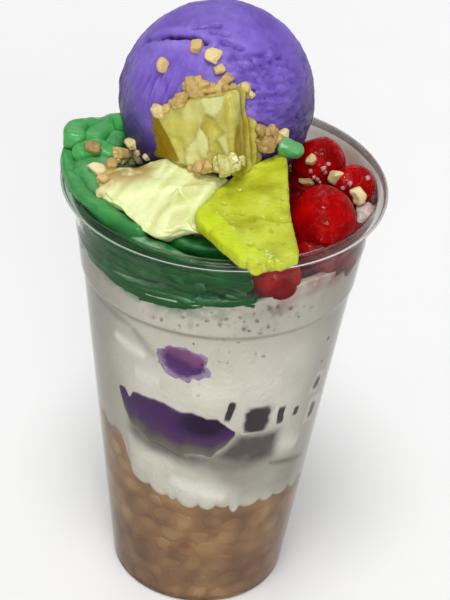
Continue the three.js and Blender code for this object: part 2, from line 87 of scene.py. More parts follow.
def colour(code):
    """A hex colour code as linear red, green and blue, with full alpha."""
    parts = [(code >> shift & 255) / 255 for shift in (16, 8, 0)]
    return (*[c / 12.92 if c <= 0.04045 else ((c + 0.055) / 1.055) ** 2.4 for c in parts], 1.0)


class Wire:
    """A shader socket. Sums on it add Math nodes, and node() adds a node of any other type."""

    def __init__(self, socket):
        self.socket = socket

    def node(self, kind, settings, inputs, output=0):
        tree = self.socket.id_data
        node = tree.nodes.new("ShaderNode" + kind)
        for name, setting in settings.items():
            if name == "stops":
                for position, _ in setting[2:]:
                    node.color_ramp.elements.new(position)
                for element, (position, tint) in zip(node.color_ramp.elements, setting):
                    element.position = position
                    element.color = tint
            else:
                setattr(node, name, setting)
        for name, value in inputs.items():
            if isinstance(value, Wire):
                tree.links.new(value.socket, node.inputs[name])
            else:
                node.inputs[name].default_value = value
        return Wire(node.outputs[output])

    def sum(self, operation, first, second):
        return self.node("Math", {"operation": operation}, {0: first, 1: second})

    def __add__(self, other):
        return self.sum("ADD", self, other)

    __radd__ = __add__

    def __sub__(self, other):
        return self.sum("SUBTRACT", self, other)

    def __rsub__(self, other):
        return self.sum("SUBTRACT", other, self)

    def __mul__(self, other):
        return self.sum("MULTIPLY", self, other)

    __rmul__ = __mul__

    def between(self, low, high):
        """0 below the low value and 1 above the high one, with a soft change from one to the other."""
        limits = {"Value": self, "From Min": low, "From Max": high}
        return self.node("MapRange", {"interpolation_type": "SMOOTHSTEP"}, limits)

    def mix(self, first, second):
        """The first colour where this is 0 and the second where it is 1, each a wire or a hex code."""
        first, second = (colour(tint) if isinstance(tint, int) else tint for tint in (first, second))
        return self.node("Mix", {"data_type": "RGBA"}, {0: self, 6: first, 7: second}, output=2)

    def ramp(self, *stops):
        return self.node("ValToRGB", {"stops": [(at, colour(code)) for at, code in stops]}, {0: self})

    def grain(self, size, detail=3.0):
        """Cloudy noise from 0 to 1 with lumps of about the given size, on a place in millimetres."""
        return self.node("TexNoise", {}, {"Vector": self, "Scale": 1 / size, "Detail": detail})

    def stretched(self, x, y, z):
        return self.node("VectorMath", {"operation": "MULTIPLY"}, {0: self, 1: (x, y, z)})

    def axis(self, name):
        """One coordinate of a place: X, Y or Z."""
        return self.node("SeparateXYZ", {}, {0: self}, output=name)

    def mask(self, name):
        """A value that the mesh holds at each of its points."""
        return self.node("Attribute", {"attribute_name": name}, {}, output="Fac")

    def bump(self, depth):
        """The surface raised by this value, up to a depth in millimetres."""
        inputs = {"Height": self, "Strength": 1.0, "Distance": depth * MM}
        return self.node("Bump", {}, inputs, output="Normal")


def new_finish(name):
    """A material, and the wire that gives a place on the object in millimetres."""
    material = bpy.data.materials.new(name)
    material.use_nodes = True
    coordinates = material.node_tree.nodes.new("ShaderNodeTexCoord")
    place = Wire(coordinates.outputs["Object"])
    return material, place.node("VectorMath", {"operation": "SCALE"}, {0: place, "Scale": 1 / MM})


def dress(material, sockets):
    """Sets or links the sockets of a material's Principled shader."""
    shader = material.node_tree.nodes["Principled BSDF"]
    for name, value in sockets.items():
        if isinstance(value, Wire):
            material.node_tree.links.new(value.socket, shader.inputs[name])
        else:
            shader.inputs[name].default_value = value
    return material


def table_finish():
    material, place = new_finish("pale_table")
    cloud = place.grain(60.0)
    shade = cloud.mix(0xF6F6F5, 0xFAFAF9)
    return dress(material, {"Base Color": shade, "Roughness": 0.8, "Specular IOR Level": 0.2})


def add_lamp(name, way, spread, power):
    lamp = bpy.data.lights.new(name, "SUN")
    lamp.angle = math.radians(spread)
    lamp.energy = power
    holder = bpy.data.objects.new(name, lamp)
    holder.location = Vector(way) * MM
    holder.rotation_euler = Vector(way).to_track_quat("Z", "Y").to_euler()
    bpy.context.collection.objects.link(holder)


scene = bpy.context.scene
scene.view_settings.view_transform = "Standard"
scene.world = bpy.data.worlds.new("studio")
scene.world.use_nodes = True
sky = scene.world.node_tree.nodes["Background"].inputs
sky["Color"].default_value = colour(SKY_COLOUR)
sky["Strength"].default_value = SKY_LIGHT
for lamp_name, lamp in LAMPS.items():
    add_lamp(lamp_name, *lamp)

forward = (CAMERA_AIM - CAMERA_PLACE).normalized()
camera_turn = forward.to_track_quat("-Z", "Y").to_matrix() @ Matrix.Rotation(CAMERA_ROLL, 3, "Z")
camera = bpy.data.objects.new("camera", bpy.data.cameras.new("camera"))
camera.data.sensor_width = SENSOR
camera.data.lens = FOCAL_PIXELS / max(PHOTO_SIZE) * SENSOR
camera.matrix_world = Matrix.Translation(CAMERA_PLACE * MM) @ camera_turn.to_4x4()
bpy.context.collection.objects.link(camera)
scene.camera = camera

table_mesh = bmesh.new()
bmesh.ops.create_circle(table_mesh, cap_ends=True, segments=TABLE_SIDES, radius=TABLE_RADIUS * MM)
table = bpy.data.objects.new("table", bpy.data.meshes.new("table"))
table_mesh.to_mesh(table.data)
table_mesh.free()
table.data.materials.append(table_finish())
bpy.context.collection.objects.link(table)

# Cup
# A thin clear plastic tumbler, drawn from one sheet: a tapered wall with a stacking ring and two faint
# beads, a rounded foot with a groove under it, and a hollow rolled rim. Damp clouds its wall at the right.
CUP_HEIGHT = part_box("cup")[1].z / MM
RIM_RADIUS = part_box("cup")[1].x / MM
BASE_RADIUS = 27.0
NECK_RADIUS = 44.0
LIP_RADIUS = 1.8
LIP_SHEET = 0.6
NECK_HEIGHT = CUP_HEIGHT - 2 * LIP_RADIUS
WALL = 0.8
FLOOR = 1.2
FOOT_ROUND = 2.5
RING_HEIGHT = 112.5
RING_STEP = 0.6
RING_SPREAD = 0.6
# Beads as height and how far they stand out
BEADS = ((135.2, 0.3), (125.6, 0.18))
BEAD_WIDTH = 0.7
# The groove under the base as inner and outer radius and depth, and how wide its slopes are
BASE_GROOVE = (17.0, 18.6, 0.35)
GROOVE_SLOPE = 0.4
BASE_HUB = 8.0
CUP_SIDES = 144
WALL_STEPS = 130
LIP_STEPS = 22
# Tints of the wall and the rim from damp, and painted sheen and shade of the jelly and cherries behind it:
# soft patches as azimuth, height, half width in degrees, half height and strength, and how much of the tint
# the lip loses
CUP_TINTS = {
    "fog": (((118.0, 137.0, 50.0, 13.0, 1.0),), 0.25),
    "green": (((-64.0, 141.0, 52.0, 4.0, 0.9), (-97.0, 133.0, 22.0, 10.0, 1.0)), 0.0),
    "red": (((96.0, 132.0, 36.0, 11.0, 1.0),), 0.7),
}


def ease(value, low, high):
    """0 below the low value and 1 above the high one, with a soft change from one to the other."""
    share = np.clip((np.asarray(value, float) - low) / (high - low), 0.0, 1.0)
    return share * share * (3 - 2 * share)


def bell(value, middle, width):
    """1 at a middle value, falling softly to 0 on both sides of it."""
    return np.exp(-(((value - middle) / width) ** 2))


def outside(height):
    """The cup's outer radius at a height."""
    slope = (NECK_RADIUS - RING_STEP - BASE_RADIUS) / NECK_HEIGHT
    step = RING_STEP * ease(height, RING_HEIGHT - RING_SPREAD, RING_HEIGHT + RING_SPREAD)
    swell = sum(rise * bell(height, level, BEAD_WIDTH) for level, rise in BEADS)
    return BASE_RADIUS + slope * height + step + swell


def room(height):
    """The cup's inner radius at a height, with the round where the wall meets the floor."""
    foot = FLOOR + FOOT_ROUND
    drop = np.clip(foot - np.asarray(height, float), 0.0, FOOT_ROUND)
    return outside(np.maximum(height, foot)) - WALL - FOOT_ROUND + np.sqrt(FOOT_ROUND**2 - drop**2)


def shell(height, depth):
    """The cup's radius at a height, at a depth inside its outer face, with its round foot."""
    drop = np.clip(FOOT_ROUND - np.asarray(height, float), 0.0, FOOT_ROUND - depth)
    round_centre = outside(np.maximum(height, FOOT_ROUND)) - FOOT_ROUND
    return round_centre + np.sqrt((FOOT_ROUND - depth) ** 2 - drop**2)


def around(azimuth, radius, height):
    """Points at azimuths in degrees from the front towards +X, at radii from the cup's axis and heights."""
    angle = np.radians(azimuth)
    points = (radius * np.sin(angle), -radius * np.cos(angle), height + 0 * angle)
    return np.stack(np.broadcast_arrays(*points), axis=-1)


def arc(centre, radius, start, end, steps):
    """Points of a profile on an arc, with angles in degrees from outwards to upwards."""
    angles = np.radians(np.linspace(start, end, steps + 1))
    return np.stack([centre[0] + radius * np.cos(angles), centre[1] + radius * np.sin(angles)], axis=-1)


def closed_skin(rings):
    """Points and faces of a skin over rings of points, with a point in the middle of each end."""
    rings = np.asarray(rings, float)
    count, sides, _ = rings.shape
    points = np.concatenate([rings.reshape(-1, 3), [rings[0].mean(0), rings[-1].mean(0)]])
    here = np.arange(sides)
    after = np.roll(here, -1)
    faces = []
    for row in range(count - 1):
        low, high = row * sides, (row + 1) * sides
        faces += np.stack([low + here, low + after, high + after, high + here], axis=-1).tolist()
    first, last = count * sides, count * sides + 1
    faces += [[first, b, a] for a, b in zip(here.tolist(), after.tolist())]
    top = (count - 1) * sides
    faces += [[last, top + a, top + b] for a, b in zip(here.tolist(), after.tolist())]
    return points, faces


def new_piece(name, material, points, faces, masks=None):
    """A smooth mesh from points in millimetres, with values for its material at each point."""
    mesh = bpy.data.meshes.new(name)
    mesh.from_pydata((np.asarray(points) * MM).tolist(), [], faces)
    skin = bmesh.new()
    skin.from_mesh(mesh)
    bmesh.ops.recalc_face_normals(skin, faces=skin.faces)
    skin.to_mesh(mesh)
    skin.free()
    for mask, values in (masks or {}).items():
        attribute = mesh.attributes.new(mask, "FLOAT", "POINT")
        attribute.data.foreach_set("value", np.asarray(values, np.float32))
    mesh.shade_smooth()
    mesh.materials.append(material)
    piece = bpy.data.objects.new(name, mesh)
    bpy.context.collection.objects.link(piece)
    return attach(piece, "root")


def cup_profile():
    """Radii and heights from the middle of the base out, up the wall, round the rim and down inside."""
    heights = np.linspace(FOOT_ROUND, NECK_HEIGHT, WALL_STEPS)
    inner_heights = np.linspace(NECK_HEIGHT, FLOOR + 0.02, WALL_STEPS)
    inner_edge, outer_edge, groove = BASE_GROOVE
    underside = [[BASE_HUB, 0], [inner_edge, 0], [inner_edge + GROOVE_SLOPE, groove]]
    underside += [[outer_edge - GROOVE_SLOPE, groove], [outer_edge, 0]]
    foot = arc((outside(FOOT_ROUND) - FOOT_ROUND, FOOT_ROUND), FOOT_ROUND, -90, -5, 9)
    wall = np.stack([outside(heights), heights], axis=-1)
    lip_centre = (RIM_RADIUS - LIP_RADIUS, CUP_HEIGHT - LIP_RADIUS)
    curl = arc(lip_centre, LIP_RADIUS - LIP_SHEET, 170, -60, LIP_STEPS)
    lip = arc(lip_centre, LIP_RADIUS, -60, 140, LIP_STEPS)
    lining = np.stack([room(inner_heights), inner_heights], axis=-1)
    return np.concatenate([underside, foot, wall, curl, lip, lining, [[BASE_HUB, FLOOR]]])


def azimuth_of(x, y):
    return np.degrees(np.arctan2(x, -y))


def patch(azimuth, height, spot):
    """A soft patch at the wall, given as azimuth, height, half widths across and up, and strength."""
    centre, level, wide, tall, strength = spot
    off = (azimuth - centre + 180) % 360 - 180
    return strength * np.exp(-(((off / wide) ** 2 + ((height - level) / tall) ** 2) ** 1.5))


def plastic_finish():
    material, place = new_finish("clear_plastic")
    haze = place.grain(14.0, 4.0).between(0.35, 0.75)
    drops = place.mask("fog") * (0.55 + 0.7 * place.grain(6.0, 4.0))
    tint = haze.mix(0xF2F3F2, 0xE9EAE8)
    tint = (0.35 * place.mask("lip")).mix(tint, 0xB2AEA8)
    tint = drops.mix(tint, 0x8E807A)
    # Painted sheen and shade: the green jelly and the cherries behind the plastic tint it green and red
    tint = (0.8 * place.mask("green")).mix(tint, 0x7CA682)
    tint = (0.8 * place.mask("red")).mix(tint, 0x9A5A50)
    return dress(material, {
        "Base Color": tint,
        "Roughness": 0.02 + 0.04 * haze + 0.25 * drops,
        "IOR": 1.2,
        "Transmission Weight": 1.0,
    })


cup_azimuths = np.linspace(0, 360, CUP_SIDES, endpoint=False)
cup_rings = [around(cup_azimuths, radius, height) for radius, height in cup_profile()]
cup_points, cup_faces = closed_skin(cup_rings)
cup_turn = azimuth_of(cup_points[:, 0], cup_points[:, 1])
cup_masks = {"lip": ease(cup_points[:, 2], NECK_HEIGHT, NECK_HEIGHT + 1)}
for tint_name, (tint_spots, lost_on_lip) in CUP_TINTS.items():
    tint = sum(patch(cup_turn, cup_points[:, 2], spot) for spot in tint_spots)
    cup_masks[tint_name] = np.clip(tint, 0, 1) * (1 - lost_on_lip * cup_masks["lip"])
clear_cup = new_piece("clear_cup", plastic_finish(), cup_points, cup_faces, cup_masks)
clear_cup.visible_shadow = False
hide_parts("cup")

# Beans
# Boiled sweet beans packed in the foot of the cup with cloudy brown syrup between them. They are soft and
# press flat against the wall, and the heap stands higher at the left than at the front.
BEAN_LEVEL = 45.5
# How the heap's top tilts across and back, and how it rises to the left: gently, then steeply at the wall,
# each as the rise and how far to the left it starts and ends. At the back the steep rise is spread out.
BEAN_TILT = (-0.06, 0.07)
BEAN_SWELL = (3.7, 2.0, 20.0)
BEAN_RISE = (14.0, 20.5, 24.0)
BEAN_SPREAD = 7.0
BEAN_SIZE = np.array((10.6, 7.6, 8.2))
BEAN_ROWS = 10
BEAN_FIRST_ROW = 4.6
BEAN_ROW = 6.4
BEAN_PITCH = 7.8
# How far below the heap's top the highest beans lie
BEAN_COVER = 2.2
BEAN_BEND = 0.16
BEAN_REACH = 0.42
SYRUP_INSET = 0.06
SEED = 20


def bean_top(x, y):
    """The height of the bean heap at a place. At the back its rise at the left is spread out."""
    swell, swell_start, swell_end = BEAN_SWELL
    rise, rise_start, rise_end = BEAN_RISE
    level = BEAN_LEVEL + BEAN_TILT[0] * x + BEAN_TILT[1] * y + swell * ease(-x, swell_start, swell_end)
    spread = BEAN_SPREAD * ease(y, 0, 15)
    return level + rise * ease(-x, rise_start - spread, rise_end + spread)


def taken_from(mesh):
    """Points and faces of a working mesh, which is then freed."""
    points = np.array([vertex.co for vertex in mesh.verts])
    faces = [[vertex.index for vertex in face.verts] for face in mesh.faces]
    mesh.free()
    return points, faces


def unit_ball(finer):
    """Points and faces of a ball of radius 1."""
    mesh = bmesh.new()
    bmesh.ops.create_icosphere(mesh, subdivisions=finer, radius=1.0)
    return taken_from(mesh)


def turned(points, x, y, z):
    """Points turned about the three axes in that order, by degrees."""
    turn = Euler((math.radians(x), math.radians(y), math.radians(z))).to_matrix()
    return points @ np.array(turn).T


def pressed(points, reach):
    """Points that would cross the cup's wall or floor, pressed flat against it, a little way into it."""
    points = np.array(points, float)
    points[:, 2] = np.maximum(points[:, 2], WALL - reach)
    radii = np.hypot(points[:, 0], points[:, 1])
    inside_rim = points[:, 2] < NECK_HEIGHT
    limit = np.where(points[:, 2] < CUP_HEIGHT, RIM_RADIUS - 2 * LIP_RADIUS + reach, np.inf)
    limit = np.where(inside_rim, shell(points[:, 2], WALL - reach), limit)
    points[:, :2] *= np.minimum(1.0, limit / np.maximum(radii, 0.001))[:, None]
    return points


def ripples(points):
    """Smooth values from about -1 to 1 at points, with lumps of about 1."""
    return np.array([noise.noise(Vector(point)) for point in points])


def bumps(points, size, octaves=2, calm=1.0):
    """Uneven values from about -1 to 1 at points, with lumps of about the given size and finer ones."""
    points = np.asarray(points) / size
    return np.array([noise.fractal(Vector(point), calm, 2.0, octaves) for point in points])


def gathered(bits):
    """Many small meshes as one, with each one's value or values at its points."""
    points, faces, tones = [], [], []
    start = 0
    for bit_points, bit_faces, tone in bits:
        points.append(bit_points)
        faces += [[start + corner for corner in face] for face in bit_faces]
        tones.append(np.broadcast_to(tone, len(bit_points)))
        start += len(bit_points)
    return np.concatenate(points), faces, np.concatenate(tones)


def bean(azimuth, height, draw, ball):
    points, faces = ball
    points = points * BEAN_SIZE / 2 * draw.uniform(0.8, 1.25)
    points[:, 1] += BEAN_BEND * points[:, 0] ** 2 / BEAN_SIZE[0] * 2
    points = turned(points, draw.uniform(-40, 40), draw.uniform(-70, 70), azimuth + draw.uniform(-25, 25))
    outward = around(azimuth, 1.0, 0.0)
    aside = np.linalg.norm(points - np.outer(points @ outward, outward), axis=1)
    tone = draw.uniform(0.2, 1.0) * (1 - ease(aside, 0.2, 0.55 * BEAN_SIZE[0]))
    points += around(azimuth, room(height) - draw.uniform(1.6, 2.6), height)
    return pressed(points, BEAN_REACH), faces, tone


def syrup():
    azimuths = np.linspace(0, 360, 120, endpoint=False)
    foot = WALL - BEAN_REACH
    top = bean_top(*around(azimuths, room(BEAN_LEVEL), 0)[:, :2].T) + 2.0
    rings = []
    for share in np.concatenate([[0.0], np.linspace(0, 1, 26), [1.0]]):
        heights = foot + share * (top - foot)
        rings.append(around(azimuths, shell(heights, WALL - BEAN_REACH + SYRUP_INSET * share), heights))
    rings[0] *= (0.5, 0.5, 1.0)
    rings[-1] *= (0.5, 0.5, 1.0)
    return *closed_skin(rings), 0.0


def bean_finish():
    material, place = new_finish("sweet_beans")
    height = place.axis("Z")
    tone = 0.14 + 0.007 * height + 0.35 * place.mask("tone") + 1.5 * (place.grain(9.0, 1.0) - 0.5)
    skin = tone.ramp((0.0, 0x6E523D), (0.3, 0x7F6046), (0.6, 0x8F6E4D), (0.9, 0xA3845E))
    skin = (0.6 * place.grain(7.0, 1.0).between(0.66, 0.78)).mix(skin, 0x77432F)
    return dress(material, {
        "Base Color": skin,
        "Roughness": 0.45 + 0.2 * place.grain(1.5),
        "Specular IOR Level": 0.15,
        "Normal": place.grain(0.9).bump(0.1),
    })


bean_draw = random.Random(SEED)
bean_ball = unit_ball(3)
bean_bits = [syrup()]
for bean_row in range(BEAN_ROWS):
    row_height = BEAN_FIRST_ROW + BEAN_ROW * bean_row
    row_count = int(2 * math.pi * room(row_height) / BEAN_PITCH)
    for spot in range(row_count):
        bean_azimuth = 360 * (spot + 0.5 * (bean_row % 2) + bean_draw.uniform(-0.2, 0.2)) / row_count
        bean_height = row_height + bean_draw.uniform(-1.2, 1.2)
        if bean_height < bean_top(*around(bean_azimuth, room(bean_height), 0)[:2]) - BEAN_COVER:
            bean_bits.append(bean(bean_azimuth, bean_height, bean_draw, bean_ball))
bean_points, bean_faces, bean_tones = gathered(bean_bits)
bean_heap = new_piece("bean_heap", bean_finish(), bean_points, bean_faces, {"tone": bean_tones})
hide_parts("beans")

# Shaved ice
# Finely shaved ice soaked in milk, packed on the beans. Its lower edge hangs in lobes, melt water greys it
# under the jelly, and its top is a loose mound. Painted shade darkens its sides, the gaps between the lobes
# and the seams where it draws back from the wall, and painted highlights streak it at the wall.
ICE_LEVEL = 124.0
ICE_MOUND = 8.0
ICE_REACH = 0.5
ICE_SIDES = 300
ICE_EDGE = 0.8
# Where it climbs the wall at the right, as azimuth, half width in degrees and height
ICE_CLIMBS = ((42, 26, 5.5), (86, 14, 9.0))
# Where painted shade darkens its sides, as the middle of the lit part and how far from it the shade starts
# and ends
ICE_SHADE = (3, 30, 62)
LOBE_WIDTHS = (2.4, 7.4)
LOBE_DEPTH = 3.4
MOUND_CENTRE = (-4.1, 8.0)
# Soft patches at the wall as azimuth, height, half width in degrees, half height and strength
MELT_POCKETS = (
    (-22.0, 66.5, 17.0, 4.2, 0.85),
    (-37.0, 70.0, 5.0, 3.8, 0.55),
    (4.0, 56.5, 24.0, 5.0, 0.13),
    (-8.0, 62.6, 9.0, 3.0, 0.4),
    (-72.0, 100.0, 20.0, 14.0, 0.08),
    (160.0, 64.0, 30.0, 8.0, 0.8),
    (-130.0, 78.0, 18.0, 7.0, 0.5),
)
# Melt water under the jelly, as its outline of azimuths and heights, the softness of its edge and strength
MELT_ZONES = (
    (((-8, 64), (6, 68), (17, 74), (38, 72.5), (40, 62), (62, 55), (58, 45), (20, 46), (15, 52), (3, 58)),
     4.0, 0.42),
    (((-4, 65), (12, 68), (18, 73.6), (37.2, 72.6), (37.6, 61), (20, 59.5), (4, 61)), 2.4, 0.36),
    (((12, 74.5), (20, 74), (37.2, 72.4), (36.6, 63), (20, 63.5), (8, 66)), 2.6, 0.34),
)
# Where dark specks of jelly and seed lie in the ice
SPECKLED = (
    (26.0, 119.5, 22.0, 6.0, 1.0),
    (-6.0, 118.5, 24.0, 5.0, 0.8),
    (12.0, 106.0, 22.0, 7.0, 0.42),
    (-4.0, 91.0, 10.0, 4.0, 0.35),
    (170.0, 112.0, 60.0, 9.0, 0.8),
)
# Seams where it draws back from the wall, darkened with painted shade, as two ends of azimuth and height,
# width and strength
SHADED_SEAMS = (
    ((-66.0, 112.0), (-36.0, 108.6), 1.6, 0.3),
    ((-36.0, 108.6), (-24.0, 100.5), 1.6, 0.34),
    ((35.0, 59.5), (66.0, 53.0), 1.1, 0.4),
    ((100.0, 106.0), (150.0, 98.0), 1.5, 0.35),
    ((-150.0, 112.0), (-110.0, 92.0), 1.5, 0.3),
)
# Painted highlights at the wall, as streaks with two ends of azimuth and height, width and strength
HIGHLIGHT_STREAKS = (
    ((-17.0, 54.5), (13.0, 47.5), 2.8, 0.75),
    ((-47.0, 102.0), (-29.0, 99.5), 2.4, 0.8),
    ((38.0, 66.5), (54.0, 62.5), 3.4, 0.6),
    ((-8.0, 90.0), (34.0, 93.0), 7.0, 0.3),
    ((-36.0, 92.0), (-22.0, 92.0), 4.0, 0.5),
)
# Cherry syrup in the ice: patches at the wall, and a pool on top as its centre and half widths
BLUSH = ((48.0, 130.0, 20.0, 7.0, 1.0), (27.0, 122.5, 7.0, 2.6, 0.6))
SYRUP_POOL = ((28.0, 8.0), (26.0, 42.0))
# Where green syrup stains it under the jelly
GREEN_STAIN = (-21.0, 122.0, 34.0, 3.0, 0.9)


def ice_top(x, y):
    """The height of the ice's top at a place."""
    far = np.hypot(x - MOUND_CENTRE[0], y - MOUND_CENTRE[1])
    return ICE_LEVEL + ICE_MOUND * (1 - ease(far, 8, 40))


def streak(azimuth, height, line):
    """A soft line at the wall from one place to another."""
    start, end, width, strength = line
    per_degree = np.pi / 180 * room(start[1])
    across = (np.asarray(azimuth) - start[0]) * per_degree
    place = np.stack([across, np.asarray(height) - start[1]], axis=-1)
    along = np.array([(end[0] - start[0]) * per_degree, end[1] - start[1]])
    share = np.clip(place @ along / (along @ along), 0, 1)
    off = np.linalg.norm(place - share[..., None] * along, axis=-1)
    thin = np.sqrt(np.clip(1 - (2 * share - 1) ** 2, 0, 1))
    return strength * bell(off, 0, width * (0.35 + 0.65 * thin)) * ease(thin, 0.0, 0.5)


def near_line(points, start, end):
    """How far points are from a straight line between two places."""
    along = end - start
    share = np.clip((points - start) @ along / (along @ along), 0, 1)
    return np.linalg.norm(points - start - share[:, None] * along, axis=1)


def zone(azimuth, height, outline, softness):
    """1 inside an outline of azimuths and heights at the wall and 0 outside it, with a soft edge."""
    scale = np.array((np.pi / 180 * room(outline[0][1]), 1.0))
    place = np.stack([azimuth, height], axis=-1) * scale
    corners = np.array(outline) * scale
    inside = np.zeros(len(place), bool)
    apart = np.full(len(place), np.inf)
    for start, end in zip(corners, np.roll(corners, -1, 0)):
        along = end - start
        apart = np.minimum(apart, near_line(place, start, end))
        level = (place[:, 1] - start[1]) / (along[1] or 1e-9)
        inside ^= (level >= 0) & (level < 1) & (place[:, 0] < start[0] + level * along[0])
    return ease(np.where(inside, apart, -apart), -softness, softness)


def hanging_lobes(azimuths):
    """How far round lobes of uneven width hang down, at azimuths along the lower edge."""
    draw = random.Random(SEED + 2)
    edges = [-180.0]
    while edges[-1] <= 180:
        edges.append(edges[-1] + math.degrees(draw.uniform(*LOBE_WIDTHS) / room(BEAN_LEVEL)))
    depths = np.array([draw.uniform(0.3, 1.0) for _ in edges])
    edges = np.array(edges)
    lobe = np.searchsorted(edges, azimuths, side="right") - 1
    across = 2 * (azimuths - edges[lobe]) / (edges[lobe + 1] - edges[lobe]) - 1
    return LOBE_DEPTH * depths[lobe] * (1 - across**2) ** 0.7


def ice_foot(azimuths):
    """The height of the ice's lower edge at the wall, and a slow unevenness, at azimuths."""
    foot = around(azimuths, room(BEAN_LEVEL) + ICE_REACH, 0)
    slow = ripples(foot / 11.0)
    return bean_top(foot[:, 0], foot[:, 1]) + 1.2 - hanging_lobes(azimuths) + 1.2 * slow, slow


def ice_rings():
    azimuths = np.linspace(-180, 180, ICE_SIDES, endpoint=False)
    foot = around(azimuths, room(BEAN_LEVEL) + ICE_REACH, 0)
    low, slow = ice_foot(azimuths)
    high = ice_top(foot[:, 0], foot[:, 1]) + 1.5 * slow
    for middle, wide, climb in ICE_CLIMBS:
        high = high + patch(azimuths, 0, (middle, 0, wide, 1, climb))
    rings = []
    for share in (0.4, 0.75, 0.93):
        rings.append(around(azimuths, share * room(low), low + 1.5))
    for turn in np.radians((0, 25, 50, 75)):
        tuck = ICE_EDGE * (1 - math.sin(turn))
        lift = ICE_EDGE * (1 - math.cos(turn))
        rings.append(around(azimuths, room(low) + ICE_REACH - tuck, low + lift))
    for share in np.linspace(0, 1, 120):
        height = low + ICE_EDGE + share * (high - low - ICE_EDGE)
        rings.append(around(azimuths, room(height) + ICE_REACH, height))
    for share in np.linspace(0.985, 0.03, 44):
        flat = around(azimuths, share * room(ICE_LEVEL), 0)
        crags = bumps(flat, 5.0, 3)
        rim = ease(share, 0.82, 1.0)
        flat[:, 2] = rim * high + (1 - rim) * ice_top(flat[:, 0], flat[:, 1]) + 1.1 * crags
        rings.append(flat)
    return rings


def ice_masks(points):
    x, y, height = points.T
    azimuth = azimuth_of(x, y)
    at_wall = ease(np.hypot(x, y) - room(height), -3, -0.5)
    melt = sum(patch(azimuth, height, spot) for spot in MELT_POCKETS)
    melt = melt + sum(streak(azimuth, height, seam) for seam in SHADED_SEAMS)
    for outline, softness, strength in MELT_ZONES:
        melt = melt + strength * zone(azimuth, height, outline, softness)
    packed = sum(streak(azimuth, height, line) for line in HIGHLIGHT_STREAKS)
    speckled = sum(patch(azimuth, height, spot) for spot in SPECKLED)
    centre, half = SYRUP_POOL
    pool = 1 - ease(np.hypot((x - centre[0]) / half[0], (y - centre[1]) / half[1]), 0.75, 1.05)
    masks = {"melt": melt * at_wall, "packed": packed * at_wall, "speckled": speckled * at_wall}
    masks["blush"] = sum(patch(azimuth, height, spot) for spot in BLUSH) * at_wall
    masks["green"] = patch(azimuth, height, GREEN_STAIN) * at_wall
    masks["thin"] = 1 - ease(height - ice_foot(azimuth)[0], 0.3, 1.7)
    light, shade_start, shade_end = ICE_SHADE
    masks["side"] = ease(np.abs(azimuth - light), shade_start, shade_end)
    # Painted shade in the gaps between the hanging lobes, fading upwards
    above_foot = np.clip(height - bean_top(x, y) - 0.8, 0, None)
    masks["gap"] = (1 - hanging_lobes(azimuth) / LOBE_DEPTH) * np.exp(-above_foot / 3.5) * at_wall
    masks["pool"] = pool * (1 - at_wall) * ease(height, ICE_LEVEL - 4, ICE_LEVEL)
    return {name: np.clip(mask, 0, 1) for name, mask in masks.items()}


def ice_finish():
    material, place = new_finish("milky_ice")
    height = place.axis("Z")
    cloud = place.grain(16.0, 3.0)
    milk = cloud.ramp((0.3, 0xC0BBAE), (0.5, 0xCAC6B9), (0.7, 0xD3CFC3))
    # Greyer higher up: painted shade under the rim
    milk = (0.8 * height.between(92, 118)).mix(milk, 0xB9B4A7)
    # Painted shade on its sides, away from the lit front
    milk = (0.75 * place.mask("side")).mix(milk, 0x9A958A)
    # Painted highlights in streaks at the wall
    milk = place.mask("packed").mix(milk, 0xE4E1D7)
    # Painted shade between the hanging lobes
    milk = (0.7 * place.mask("gap")).mix(milk, 0x9D968A)
    # A painted dark line of shade at the cup's stacking ring
    ring = height.between(RING_HEIGHT - 1.6, RING_HEIGHT - 0.4)
    ring = ring * (1 - height.between(RING_HEIGHT, RING_HEIGHT + 1.2))
    milk = (0.5 * ring).mix(milk, 0x857D70)
    # Grey of melt water, with painted shade along the seams
    grey_melt_and_shade = place.mask("melt") * (0.75 + 0.5 * place.grain(6.0))
    milk = grey_melt_and_shade.mix(milk, 0x554D46)
    milk = (0.6 * place.mask("thin")).mix(milk, 0xA08C74)
    milk = (0.7 * place.mask("green") * place.grain(3.0).between(0.3, 0.6)).mix(milk, 0x55735A)
    warp = place.node("TexNoise", {}, {"Vector": place, "Scale": 1 / 1.3}, output="Color")
    crooked = {0: warp, 1: (1.6, 1.6, 1.6), 2: place.stretched(1, 1, 0.8)}
    dots = {"Vector": place.node("VectorMath", {"operation": "MULTIPLY_ADD"}, crooked), "Scale": 1 / 2.5}
    cells = place.node("TexVoronoi", {}, dots, output="Distance")
    sparse = (place.grain(4.0) + 0.4 * place.mask("speckled")).between(0.66, 0.8)
    specks = (1 - cells.between(0.12, 0.42)) * sparse * place.mask("speckled").between(0.1, 0.4)
    milk = (0.75 * specks).mix(milk, 0x5E5850)
    smudge = place.stretched(1, 1, 0.5).grain(3.0, 4.0).between(0.54, 0.7) * place.mask("speckled")
    milk = (0.5 * smudge).mix(milk, 0x857E74)
    stain = place.mask("blush") * place.grain(4.0).between(0.25, 0.65)
    milk = (0.75 * stain).mix(milk, 0x8A5550)
    milk = place.mask("pool").mix(milk, 0x7E0A0C)
    return dress(material, {
        "Base Color": milk,
        "Roughness": 0.5,
        "Specular IOR Level": 0.15,
        "Normal": (place.grain(1.6, 4.0) + cloud).bump(0.4),
    })


ice_points, ice_faces = closed_skin(ice_rings())
milky_ice = new_piece("milky_ice", ice_finish(), ice_points, ice_faces, ice_masks(ice_points))
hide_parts("shaved_ice")

# Yam jam
# A spoonful of dense purple yam jam that sank into the ice as a sagging slab. It lies against the wall at
# the front left and at the back, darkest in the middle, and its lower edge bleeds into the melt water.
JAM_REACH = 0.6
